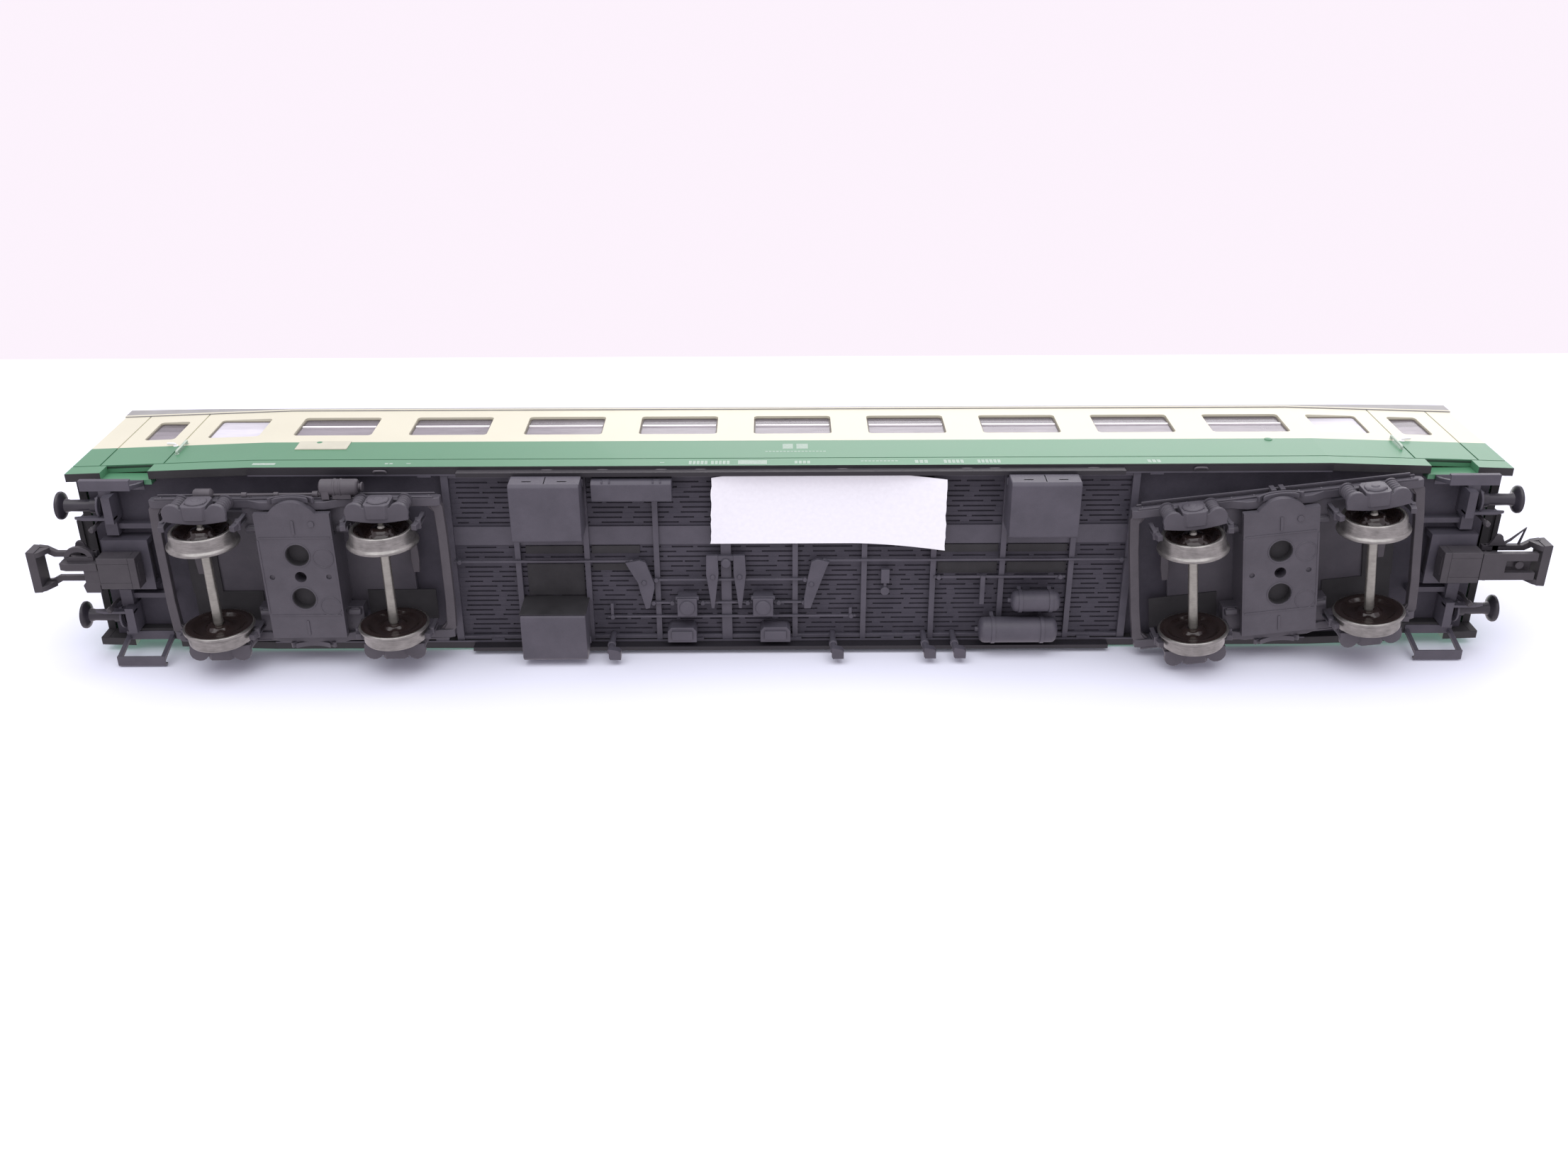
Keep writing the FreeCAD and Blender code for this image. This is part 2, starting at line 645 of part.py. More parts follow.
def make_brake_rigging():
    """Pull rods, hangers and levers that lie across the ribs."""
    level = "floor_level - beam_depth - rigging_thick"
    rod_level = "floor_level - beam_depth - rod_thick"
    pieces = []
    runs = (((-56, -25.4), 0.3), ((4.4, 56), 0.3), ((24, 46), 3.5), ((-31, 11), 10.7), ((-23.4, 3), 3.8),
            ((-24.2, -19.2), 8.1), ((-15.7, -6.5), 8.1), ((-2.9, 3), 8.1))
    for number, (x, y) in enumerate(runs):
        size = (f"{x[1]} - ({x[0]})", "rod_thick", "rod_thick")
        pieces.append(block(f"pull_rod{number}", size, (f"({x[0]} + {x[1]}) / 2", y, rod_level)))
    pieces.append(block("cross_link", ("0.9", "5.3", "rigging_thick"), (32.2, 5.9, level)))
    hangers = {
        "hanger_minus": [(-27.4, -0.2), (-24.9, -0.2), (-22.9, 4.4), (-23.9, 9.0), (-25.2, 9.0),
                         (-25.6, 4.4)],
        "hanger_plus": [(3.6, -0.2), (6.2, -0.2), (4.6, 4.4), (3.4, 9.0), (2.0, 9.0), (1.8, 4.4)],
        "lever_minus": [(-14.2, -1.2), (-12.0, -1.2), (-12.3, 5.4), (-12.8, 9.2), (-13.4, 9.2),
                        (-13.9, 5.4)],
        "lever_plus": [(-9.7, -1.2), (-7.5, -1.2), (-7.8, 5.4), (-8.3, 9.2), (-8.9, 9.2), (-9.4, 5.4)],
        "lever_hand": [(15.0, 0.2), (16.6, 0.2), (16.4, 4.0), (16.2, 7.8), (15.4, 7.8), (15.2, 4.0)],
    }
    for name, outline in hangers.items():
        pieces.append(prism(name, outline, level, "rigging_thick"))
    pieces.append(block("lever_link", ("8", "0.7", "rigging_thick"), (-10.8, 0.7, level)))
    pieces.append(rod("lever_boss", "0.9", "1.1", (-10.85, 0.7, "floor_level - beam_depth - 1.1"), "z"))
    keep("brake_rigging", fuse("rigging_moulding", pieces))


def make_end_gear():
    """Headstocks, buffers, brake hoses and coupler guides at both ends."""
    stocks = []
    buffers = []
    hoses = []
    guides = []
    for end, sign in ENDS.items():
        for side, hand in SIDES.items():
            y = f"{hand} * buffer_half_spacing"
            beam = block(f"beam_{end}_{side}", ("2", "7.8", "deck_level - 12.4"),
                         (f"{sign} * (beam_face - 1)", f"{hand} * 8.9", "12.4"))
            pad_plate = block(f"pad_{end}_{side}", ("1.4", "4.6", "deck_level - 10.6"),
                              (f"{sign} * (beam_face - 1.7)", y, "10.6"))
            brace = block(f"brace_{end}_{side}", ("7.4", "0.9", "1.6"),
                          (f"{sign} * (beam_face - 4.7)", f"{hand} * 6.4", "deck_level - 1.6"))
            sleeve = rod(f"sleeve_{end}_{side}", "buffer_sleeve_round", "2.2",
                         (f"{sign} * (beam_face) - {0 if sign > 0 else 2.2}", y, "buffer_height"), "x")
            shank = rod(f"shank_{end}_{side}", "buffer_shank_round", "buffer_face - beam_face - 0.5",
                        (f"{sign} * (beam_face) - {0 if sign > 0 else 1} * (buffer_face - beam_face - 0.5)",
                         y, "buffer_height"), "x")
            head = rod(f"head_{end}_{side}", "buffer_head_round", "buffer_head",
                       (f"{sign} * (buffer_face - buffer_head / 2) - buffer_head / 2", y, "buffer_height"),
                       "x")
            buffers.append(fuse(f"buffer_{end}_{side}", [sleeve, shank, head]))
            stocks.append(fuse(f"stock_{end}_{side}", [beam, pad_plate, brace]))
            hose_x = f"{sign} * (beam_face + 0.8)"
            hose_y = f"{hand} * hose_place"
            drop = rod(f"hose_drop_{end}_{side}", "hose_round", "4.6", (hose_x, hose_y, "9.4"), "z")
            neck = rod(f"hose_neck_{end}_{side}", "hose_round", "1.1",
                       (f"{sign} * (beam_face) - {0 if sign > 0 else 1.1}", hose_y, "13.7"), "x")
            tip = rod(f"hose_tip_{end}_{side}", "0.5", "1", (hose_x, hose_y, "8.9"), "z")
            hoses.append(fuse(f"hose_{end}_{side}", [drop, neck, tip]))
        shelf = block(f"guide_shelf_{end}", ("7.6", "9", "0.5"), (f"{sign} * 109.7", 0, "11.5"))
        cheeks = [block(f"guide_cheek_{end}_{side}", ("7.6", "1", "deck_level - 11.5"),
                        (f"{sign} * 109.7", f"{hand} * 4", "11.5")) for side, hand in SIDES.items()]
        slot = block(f"guide_slot_{end}", ("2 * pin_round + draw_travel + 0.6", "2 * pin_round + 0.4", "2"),
                     (f"{sign} * (pin_place + draw_travel / 2)", 0, "10.8"))
        guides.append(cut(f"guide_{end}", fuse(f"guide_raw_{end}", [shelf] + cheeks), [slot]))
    keep("headstocks", group("stock_set", stocks))
    keep("buffers", group("buffer_set", buffers))
    keep("brake_hoses", group("hose_set", hoses))
    keep("coupler_guides", group("guide_set", guides))


def make_steps():
    """Door sills in the skirt's openings and the step boards that hang below them."""
    sills = []
    steps = []
    for end, sign in ENDS.items():
        for side, hand in SIDES.items():
            x = f"{sign} * (sill_cut_outer + sill_cut_inner) / 2"
            long = "sill_cut_outer - sill_cut_inner"
            face = wall_line("sill_cut_outer")
            sills.append(block(f"sill_{end}_{side}",
                               (f"{long} + 0.6", "0.8", "panel_bottom - skirt_bottom"),
                               (x, f"{hand} * ({face} - wall - 0.45)", "skirt_bottom")))
            long = "step_outer - step_inner"
            x = f"{sign} * (step_outer + step_inner) / 2"
            upper = block(f"tread_{end}_{side}", (long, "1.6", "step_plate"),
                          (x, f"{hand} * 13.8", "skirt_bottom - step_plate"))
            board = block(f"board_{end}_{side}", (long, "1.6", "step_plate"),
                          (x, f"{hand} * 15.6", "step_level"))
            strap_line = [(hand * 13.6, "skirt_bottom"), (hand * 14.4, "skirt_bottom"),
                          (hand * 15.6, "step_level"), (hand * 14.8, "step_level")]
            straps = []
            for number, place in enumerate(("step_inner + 0.1", "step_outer - step_strap - 0.1")):
                start = f"{sign} * ({place}) - {0 if sign > 0 else 1} * step_strap"
                straps.append(prism(f"strap{number}_{end}_{side}", strap_line, start, "step_strap",
                                    "YZ_Plane"))
            steps.append(fuse(f"step_{end}_{side}", [upper, board] + straps))
    keep("door_sills", group("sill_set", sills))
    keep("door_steps", group("step_set", steps))


def make_label():
    """A thin paper tag stuck flat across the ribs."""
    keep("paper_tag", block("tag_sheet", ("38.2", "12", "0.12"),
                            (6.2, -8.85, "floor_level - beam_depth - 0.13")))


# ---------------------------------------------------------------- bogies

def make_bogie(end):
    """One bogie around its own pivot: frame, ring of side frames, brake shoes and pivot pin."""
    bogie_parts = []

    column = block(f"column_{end}", ("2 * bolster_half", "2 * bolster_side", "bogie_top - bogie_plate"),
                   (0, 0, "bogie_plate"))
    top = block(f"top_plate_{end}", ("34", "18", "0.8"), (0, 0, "bogie_top - 0.8"))
    plate = block(f"bottom_plate_{end}", ("2 * bolster_half", "22.4", "1.1"), (0, 0, "bogie_plate"))
    tab = rod(f"tab_{end}", "4.6", "1.1", (0, "-8.6", "bogie_plate"), "z")
    bore = rod(f"bore_{end}", "pivot_round + pivot_gap", "6", (0, 0, "bogie_plate + 2.2"), "z")
    holes = [rod(f"hole{number}_{end}", "1.9", "1.7", (0, f"{hand} * 3.9", "bogie_plate - 0.1"), "z")
             for number, hand in enumerate((-1, 1))]
    holes.append(rod(f"screw_hole_{end}", "0.95", "3", (0, 0, "bogie_plate - 0.1"), "z"))
    holes += [rod(f"dimple{number}_{end}", "0.45", "0.4", (f"{hand} * 4.6", 0, "bogie_plate - 0.1"), "z")
              for number, hand in enumerate((-1, 1))]
    ears = [block(f"ear{number}_{end}", ("17.2", f"frame_line - frame_thick / 2 - bolster_side", "2.4"),
                  (0, f"{hand} * (bolster_side + frame_line - frame_thick / 2) / 2", "9.3"))
            for number, hand in enumerate((-1, 1))]
    raw = fuse(f"frame_raw_{end}", [column, top, plate, tab] + ears)
    bogie_parts.append(keep(f"bogie_{end}_frame", cut(f"frame_{end}", raw, [bore] + holes)))

    ring = [block(f"transom{number}_{end}", ("1", "2 * frame_line", "1.3"),
                  (f"{hand} * (frame_half - 0.6)", 0, "9.3"))
            for number, hand in enumerate((-1, 1))]
    bores = []
    for side, hand in SIDES.items():
        line = f"{hand} * frame_line"
        ring.append(block(f"beam_{end}_{side}_b", ("2 * frame_half", "frame_thick", "2"), (0, line, "9.0")))
        ring.append(block(f"truss_{end}_{side}", ("13", "frame_thick", "2.25"), (0, line, "7.75")))
        for number, place in enumerate((-1, 1)):
            x = f"{place} * half_wheelbase"
            ring.append(rounded_block(f"axlebox{number}_{end}_{side}", ("4.2", "frame_thick + 0.9", "4.6"),
                                      (x, f"{hand} * (frame_line + 0.45)", "flange_round - 2.1"),
                                      "corner_round", Y_AXIS))
            for shift in (-1, 1):
                name = f"spring{number}_{'b' if shift > 0 else 'a'}_{end}_{side}"
                at = (f"{x} + {shift} * spring_reach", line, "spring_seat + 0.6")
                ring.append(rod(name, 1.05, "9.2 - spring_seat - 0.6", at, "z"))
                seat = (f"{x} + {shift} * 2.9", line, "spring_seat")
                ring.append(block(name + "_seat", ("2.6", "frame_thick + 0.5", "0.8"), seat))
            bores.append(rod(f"journal_bore{number}_{end}_{side}", "journal_round + journal_gap", "2.35",
                             (x, f"{hand} * (axle_half - 0.225) - 1.175", "flange_round"), "y"))
    bogie_parts.append(keep(f"bogie_{end}_side_frames",
                            cut(f"ring_{end}", fuse(f"ring_raw_{end}", ring), bores)))

    shoes = []
    for number, place in enumerate((-1, 1)):
        for inner, shift in enumerate((-1, 1)):
            for side, hand in SIDES.items():
                name = f"shoe{number}{inner}_{end}_{side}"
                x = f"({place} * half_wheelbase + {shift} * (tread_round + 0.85))"
                shoe = block(name + "_pad", ("1", "1", "2.6"), (x, f"{hand} * 9.75", "flange_round - 1.3"))
                arm_x = f"({place} * half_wheelbase + {shift} * (tread_round + 1.0))"
                arm = block(name + "_arm", ("0.7", "1", "9.3 - flange_round"),
                            (arm_x, f"{hand} * 9.75", "flange_round"))
                shoes.append(fuse(name, [shoe, arm]))
    bogie_parts.append(keep(f"bogie_{end}_brake_shoes", group(f"shoes_{end}", shoes)))

    pin_length = "bogie_top + 0.1 - bogie_plate - 2.6"
    pin = rod(f"pin_{end}", "pivot_round", pin_length,
              (f"{ENDS[end]} * bogie_centre", 0, "bogie_plate + 2.6"), "z")
    keep(f"pivot_pin_{end}", pin)
    return bogie_parts


def make_generator():
    """The axle generator on the minus bogie's near side and its shaft to the outer axle."""
    line = "-(frame_line + 2.5)"
    shaft_line = "-(frame_line + 1.2)"
    body = rod("generator_body", "1.35", "6.9", ("4.4", line, "9.6"), "x")
    collar = rod("generator_collar", "1.4", "0.6", ("6.0", line, "9.6"), "x")
    foot = block("generator_foot", ("3", "1.2", "1.4"),
                 ("8", "-(frame_line + frame_thick / 2 + 0.6)", "9.2"))
    shaft = rod("generator_shaft", "0.25", "18.5", ("-13.8", shaft_line, "9.5"), "x")
    knuckle = rod("generator_knuckle", "0.38", "1.2", ("3.4", shaft_line, "9.5"), "x")
    gearbox = block("generator_gearbox", ("3", "1.2", "2.2"),
                    ("-half_wheelbase", "-(frame_line + 1.6)", "8.5"))
    return keep("axle_generator", fuse("generator_set", [body, collar, foot, shaft, knuckle, gearbox]))


def make_wheelset(name):
    """One wheelset along Y around its own centre: axle, metal tyres and dark wheel centres."""
    axle = [rod(f"{name}_bar", "axle_round", "2 * (axle_half - 2.2)", (0, "-(axle_half - 2.2)", 0), "y"),
            rod(f"{name}_journals", "journal_round", "2 * axle_half", (0, "-axle_half", 0), "y")]
    parts = [keep(f"{name}_axle", fuse(f"{name}_axle_bar", axle))]
    tyres = []
    discs = []
    for side, hand in SIDES.items():
        def from_back(share, length):
            start = f"half_back_to_back + {share}"
            return start if hand > 0 else f"-({start} + {length})"
        flange = rod(f"{name}_flange_{side}", "flange_round", "flange_width * 0.6",
                     (0, from_back(0, "flange_width * 0.6"), 0), "y")
        radii = ("flange_round", "tread_round + 0.12")
        slope = taper(f"{name}_slope_{side}", radii if hand > 0 else radii[::-1], "flange_width * 0.4",
                      (0, from_back("flange_width * 0.6", "flange_width * 0.4"), 0), "y")
        radii = ("tread_round + 0.12", "tread_round - 0.05")
        tread = taper(f"{name}_tread_{side}", radii if hand > 0 else radii[::-1],
                      "wheel_width - flange_width",
                      (0, from_back("flange_width", "wheel_width - flange_width"), 0), "y")
        hole = rod(f"{name}_hole_{side}", "tread_round - rim_depth", "wheel_width + 1",
                   (0, from_back(-0.5, "wheel_width + 1"), 0), "y")
        tyres.append(cut(f"{name}_tyre_{side}", fuse(f"{name}_tyre_raw_{side}", [flange, slope, tread]),
                         [hole]))
        web = rod(f"{name}_web_{side}", "tread_round - rim_depth", "1.4", (0, from_back(0.5, "1.4"), 0),
                  "y")
        lip = rod(f"{name}_lip_{side}", "tread_round - rim_depth", "wheel_width - 0.3",
                  (0, from_back(0.15, "wheel_width - 0.3"), 0), "y")
        lip_hole = rod(f"{name}_lip_hole_{side}", "tread_round - rim_depth - 0.8", "wheel_width + 1",
                       (0, from_back(-0.5, "wheel_width + 1"), 0), "y")
        hub = rod(f"{name}_hub_{side}", "1.7", "wheel_width", (0, from_back(0, "wheel_width"), 0), "y")
        centre = fuse(f"{name}_centre_{side}", [web, cut(f"{name}_ring_{side}", lip, [lip_hole]), hub])
        eye = rod(f"{name}_eye_{side}", "axle_round", "wheel_width + 1",
                  (0, from_back(-0.5, "wheel_width + 1"), 0), "y")
        discs.append(cut(f"{name}_disc_{side}", centre, [eye]))
    parts.append(keep(f"{name}_tyres", group(f"{name}_tyre_pair", tyres)))
    parts.append(keep(f"{name}_centres", group(f"{name}_centre_pair", discs)))
    return parts


# ---------------------------------------------------------------- couplers

def make_coupler(end):
    """One coupler: sliding carrier, swinging pocket, head with hook, and lifting loop."""
    sign = ENDS[end]

    def box(name, x, y, z):
        middle = f"{sign} * (({x[0]}) + ({x[1]})) / 2"
        size = (f"({x[1]}) - ({x[0]})", f"({y[1]}) - ({y[0]})", f"({z[1]}) - ({z[0]})")
        return block(f"{name}_{end}", size, (middle, f"(({y[0]}) + ({y[1]})) / 2", z[0]))

    carrier = box("carrier", ("pin_place - 2.2", "pin_place + 2"), (-3.3, 3.3), (12.1, 13.9))
    carrier_bore = rod(f"carrier_bore_{end}", "pin_round + pin_gap", "3", (f"{sign} * pin_place", 0, 11.5),
                       "z")
    keep(f"coupler_{end}_carrier", cut(f"carrier_block_{end}", carrier, [carrier_bore]))

    pocket_box = box("pocket", ("pocket_inner", "pocket_outer"), ("-pocket_side", "pocket_side"),
                     ("pocket_bottom", "pocket_top"))
    mouth = box("mouth", ("pocket_inner + 1.2", "pocket_outer + 1"), (-1.7, 1.7),
                ("pocket_bottom + 0.6", "pocket_top - 0.5"))
    pin = rod(f"draw_pin_{end}", "pin_round", "13.9 - pocket_top + 0.2",
              (f"{sign} * pin_place", 0, "pocket_top - 0.2"), "z")
    shell = fuse(f"pocket_shell_{end}", [cut(f"pocket_hollow_{end}", pocket_box, [mouth]), pin])
    keep(f"coupler_{end}_pocket", shell)

    shank = box("shank", ("pocket_inner + 1.4", "pocket_outer + 0.5"), (-1.65, 1.65),
                ("pocket_bottom + 0.65", "pocket_top - 0.55"))
    cheek = box("cheek", ("pocket_outer + 0.15", "pocket_outer + 2.6"), (-1.9, 2.3),
                ("pocket_bottom + 0.3", "pocket_top - 0.15"))
    post = box("loop_post", ("loop_pivot - 0.5", "loop_pivot + 0.5"), (-1.4, 1.4),
               ("pocket_top - 0.3", "loop_level + 0.45"))
    cross = rod(f"loop_pin_{end}", "loop_round", 5.3, (f"{sign} * loop_pivot", -2.65, "loop_level"), "y")
    if sign < 0:
        blade = box("blade", ("pocket_outer + 0.2", 119.7), (-1.6, 0.3),
                    ("pocket_bottom + 0.2", "pocket_top - 0.9"))
        beak = box("beak", (118.4, 119.7), (-1.6, 0.3), ("pocket_bottom + 0.2", "pocket_top + 0.6"))
        lug = box("lug", (113.5, 116.2), (1.9, 3.6), ("pocket_bottom + 0.4", "pocket_top - 1.2"))
        head = fuse(f"hook_{end}", [shank, cheek, post, cross, blade, beak, lug])
    else:
        table = box("table", ("pocket_outer + 0.2", 122.9), (-2.4, 2.4),
                    ("pocket_bottom + 0.3", "pocket_bottom + 1.3"))
        slot = box("slot", (117.5, 121.9), (-1.05, 1.05), ("pocket_bottom", "pocket_bottom + 3"))
        hook = box("hook_blade", (115.7, 117.6), (-0.7, 0.7), ("pocket_bottom + 1.2", "pocket_top - 0.4"))
        tip = rod(f"hook_tip_{end}", "0.75", "1.6", (f"{sign} * 120.1", 0, "pocket_bottom + 0.9"), "z")
        reach = box("hook_reach", (117.4, 120.2), (-0.5, 0.5),
                    ("pocket_bottom + 1.5", "pocket_bottom + 2.3"))
        plate = cut(f"table_cut_{end}", fuse(f"table_raw_{end}", [table, shank, cheek]), [slot])
        head = fuse(f"hook_{end}", [plate, post, cross, hook, reach, tip])
    keep(f"coupler_{end}_head", head)

    low = "loop_level - 0.45"
    high = "loop_level + 0.45"
    pieces = [box("loop_bar", ("coupler_front - 1.5", "coupler_front"), (-3.7, 3.7),
                  ("pocket_bottom + 0.6", high)),
              box("loop_tie", ("loop_pivot + 1.1", "loop_pivot + 2.1"), (-2.6, 2.6), (low, high)),
              box("loop_ear", ("loop_pivot + 0.3", "loop_pivot + 3.4"), (-4.6, -2.5),
                  (low, low + " + 0.5"))]
    for side, hand in SIDES.items():
        y = (f"{hand} * 2.2 - 0.45", f"{hand} * 2.2 + 0.45")
        pieces.append(box(f"loop_arm_{side}", ("loop_pivot - 0.6", "coupler_front - 1"), y, (low, high)))
        flare = (f"{hand} * 2.9 - 0.8", f"{hand} * 2.9 + 0.8")
        pieces.append(box(f"loop_flare_{side}", ("coupler_front - 2.7", "coupler_front - 1"), flare,
                          (low + " - 0.9", high)))
    eye = rod(f"loop_eye_{end}", 0.45, 2, (f"{sign} * (loop_pivot + 1.9)", -3.7, "loop_level - 1"), "z")
    bore = rod(f"loop_bore_{end}", "loop_round + loop_gap", 8, (f"{sign} * loop_pivot", -4, "loop_level"),
               "y")
    keep(f"coupler_{end}_loop", cut(f"loop_{end}", fuse(f"loop_raw_{end}", pieces), [eye, bore]))


# ---------------------------------------------------------------- assembly

make_body_shell()
make_roof()
make_roof_vents()
make_glazing()
make_end_panes()
make_window_bars()
make_door_fittings()
make_gangways()
make_interior()
make_underframe()
make_equipment()
make_brake_rigging()
make_end_gear()
make_steps()
make_label()
for end_name in ENDS:
    make_coupler(end_name)

moves = []
for end_name, end_sign in ENDS.items():
    yaw = BOGIE_YAW[end_name]
    centre_x = end_sign * size_of("bogie_centre")
    own_parts = make_bogie(end_name)
    if end_name == "minus":
        own_parts.append(make_generator())
    for item in own_parts:
        moves.append((item, centre_x, 0, 0, yaw))
    for place, hand in (("inner", -end_sign), ("outer", end_sign)):
        reach = hand * size_of("half_wheelbase")
        lean = size_of("axle_float")
        turn = math.radians(yaw)
        axle_x = centre_x + reach * math.cos(turn) - lean * math.sin(turn)
        axle_y = reach * math.sin(turn) + lean * math.cos(turn)
        for item in make_wheelset(f"wheelset_{end_name}_{place}"):
            moves.append((item, axle_x, axle_y, size_of("flange_round"), yaw))

doc.recompute()
for item, x, y, z, turn in moves:
    move(item, x, y, z, turn)
doc.recompute()

failed = [item.Name for item in doc.Objects if "Invalid" in item.State or "Error" in item.State]
if failed:
    raise RuntimeError(f"objects failed to recompute: {failed}")
for item in SUBPARTS:
    if item.Shape.isNull() or not item.Shape.isValid() or not item.Shape.Solids:
        raise RuntimeError(f"sub-part {item.Label} has no valid shape")

os.makedirs("parts", exist_ok=True)
for item in SUBPARTS:
    item.Shape.exportStep(f"parts/{item.Label}.step")
print(f"{len(SUBPARTS)} sub-parts written")
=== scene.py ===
import json
import math

import bmesh
import bpy
from mathutils import Matrix, Vector, noise


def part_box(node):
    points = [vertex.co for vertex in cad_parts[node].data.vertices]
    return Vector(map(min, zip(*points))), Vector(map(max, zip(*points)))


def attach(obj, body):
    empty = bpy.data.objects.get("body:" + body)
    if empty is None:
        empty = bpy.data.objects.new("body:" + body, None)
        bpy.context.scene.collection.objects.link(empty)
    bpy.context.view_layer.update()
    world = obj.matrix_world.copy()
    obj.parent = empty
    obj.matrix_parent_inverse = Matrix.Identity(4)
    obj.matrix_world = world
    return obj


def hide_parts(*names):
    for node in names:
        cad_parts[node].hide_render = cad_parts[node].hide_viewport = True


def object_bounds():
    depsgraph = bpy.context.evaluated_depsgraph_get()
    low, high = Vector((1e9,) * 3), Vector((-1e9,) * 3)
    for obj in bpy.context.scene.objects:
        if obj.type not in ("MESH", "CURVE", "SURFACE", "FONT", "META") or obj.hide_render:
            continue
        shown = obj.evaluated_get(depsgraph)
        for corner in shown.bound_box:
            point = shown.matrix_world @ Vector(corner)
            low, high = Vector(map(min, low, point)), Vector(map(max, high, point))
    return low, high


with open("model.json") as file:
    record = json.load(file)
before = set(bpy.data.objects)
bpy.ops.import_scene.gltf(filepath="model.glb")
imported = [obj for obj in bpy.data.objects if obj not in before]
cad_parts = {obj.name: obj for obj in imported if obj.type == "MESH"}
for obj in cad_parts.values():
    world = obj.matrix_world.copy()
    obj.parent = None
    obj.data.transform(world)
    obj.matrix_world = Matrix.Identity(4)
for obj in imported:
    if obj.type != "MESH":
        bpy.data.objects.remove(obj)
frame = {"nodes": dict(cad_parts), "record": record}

CAD_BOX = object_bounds()
MM = 0.001
ENDS = {"minus": -1, "plus": 1}
HANDS = (-1, 1)
ONCE = [(1, 1)]
BOTH_ENDS = [(sign, 1) for sign in HANDS]
BOTH_HANDS = [(1, hand) for hand in HANDS]
CORNERS = [(sign, hand) for sign in HANDS for hand in HANDS]
JOINTS = {joint["name"]: joint for joint in frame["record"]["behaviour"]["joints"]}

# Heights in metres where the paint or the glazing changes, and where the painted shade of the floor and the sills
# begins; SILL_REACH is that shade's reach across.
PAINT_LINE = 0.0241
GLAZING_BAR = 0.0323
ROOF_EDGE = 0.0399
FLOOR_LEVEL = 0.0136
SILL_LEVEL = 0.0109
SILL_REACH = 0.01545


def box_mm(node):
    """Give a CAD node's lowest and highest corners in millimetres."""
    low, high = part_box(node)
    return Vector(low) / MM, Vector(high) / MM


# ---------------------------------------------------------------- camera, stage and light

def add_to_scene(name, data):
    item = bpy.data.objects.new(name, data)
    bpy.context.scene.collection.objects.link(item)
    return item


def make_camera():
    """The camera stands under the coach's near side, looking at its underframe."""
    data = bpy.data.cameras.new("camera")
    data.sensor_width = 36
    data.lens = 35.04
    data.clip_start = 0.01
    data.clip_end = 10
    camera = add_to_scene("camera", data)
    camera.location = Vector((-2.54, -109.36, -217.04)) * MM
    camera.rotation_euler = [math.radians(angle) for angle in (153.453, 0.392, 0.103)]
    bpy.context.scene.camera = camera


def stage_material(name, color):
    """A pale one-sided paper: its back lets the camera see through."""
    material = bpy.data.materials.new(name)
    material.use_nodes = True
    tree = material.node_tree
    tree.nodes.clear()
    paper = tree.nodes.new("ShaderNodeBsdfDiffuse")
    paper.inputs["Color"].default_value = color
    clear = tree.nodes.new("ShaderNodeBsdfTransparent")
    side = tree.nodes.new("ShaderNodeNewGeometry")
    mix = tree.nodes.new("ShaderNodeMixShader")
    output = tree.nodes.new("ShaderNodeOutputMaterial")
    tree.links.new(side.outputs["Backfacing"], mix.inputs["Fac"])
    tree.links.new(paper.outputs[0], mix.inputs[1])
    tree.links.new(clear.outputs[0], mix.inputs[2])
    tree.links.new(mix.outputs[0], output.inputs["Surface"])
    return material


def make_stage():
    """A table that the coach lies on, on its far side, and a floor under its wheels."""
    far = CAD_BOX[1][1] + 0.0001
    sheets = {
        "table": ([(-0.6, far, -0.4), (0.6, far, -0.4), (0.6, far, 0.1738), (-0.6, far, 0.1738)],
                  (0.80, 0.84, 0.94, 1)),
        "floor": ([(-2, -2, 0), (2, -2, 0), (2, 2, 0), (-2, 2, 0)], (0.88, 0.87, 0.88, 1)),
    }
    for name, (corners, color) in sheets.items():
        mesh = bpy.data.meshes.new(name)
        mesh.from_pydata(corners, [], [(0, 1, 2, 3)])
        mesh.materials.append(stage_material(name, color))
        sheet = add_to_scene(name, mesh)
        sheet.visible_diffuse = False
        sheet.visible_glossy = False
        sheet.visible_transmission = False
        sheet.visible_shadow = False


def make_light(name, energy, size, place):
    """One large square lamp that points at the coach."""
    data = bpy.data.lights.new(name, "AREA")
    data.energy = energy
    data.size = size
    lamp = add_to_scene(name, data)
    lamp.location = place
    direction = Vector((0, 0, 0.02)) - Vector(place)
    lamp.rotation_euler = direction.to_track_quat("-Z", "Y").to_euler()


def make_lights():
    """Even pale surroundings, with soft lamps at the near side and above."""
    scene = bpy.context.scene
    scene.view_settings.view_transform = "Standard"
    world = bpy.data.worlds.new("surroundings")
    scene.world = world
    world.use_nodes = True
    background = world.node_tree.nodes["Background"]
    background.inputs["Color"].default_value = (1.0, 0.915, 1.0, 1)
    background.inputs["Strength"].default_value = 0.98
    make_light("near_lamp", 7.2, 1.2, (-0.08, -0.9, -0.15))
    make_light("top_lamp", 5.0, 0.9, (0.3, -0.2, 1.0))


# ---------------------------------------------------------------- materials

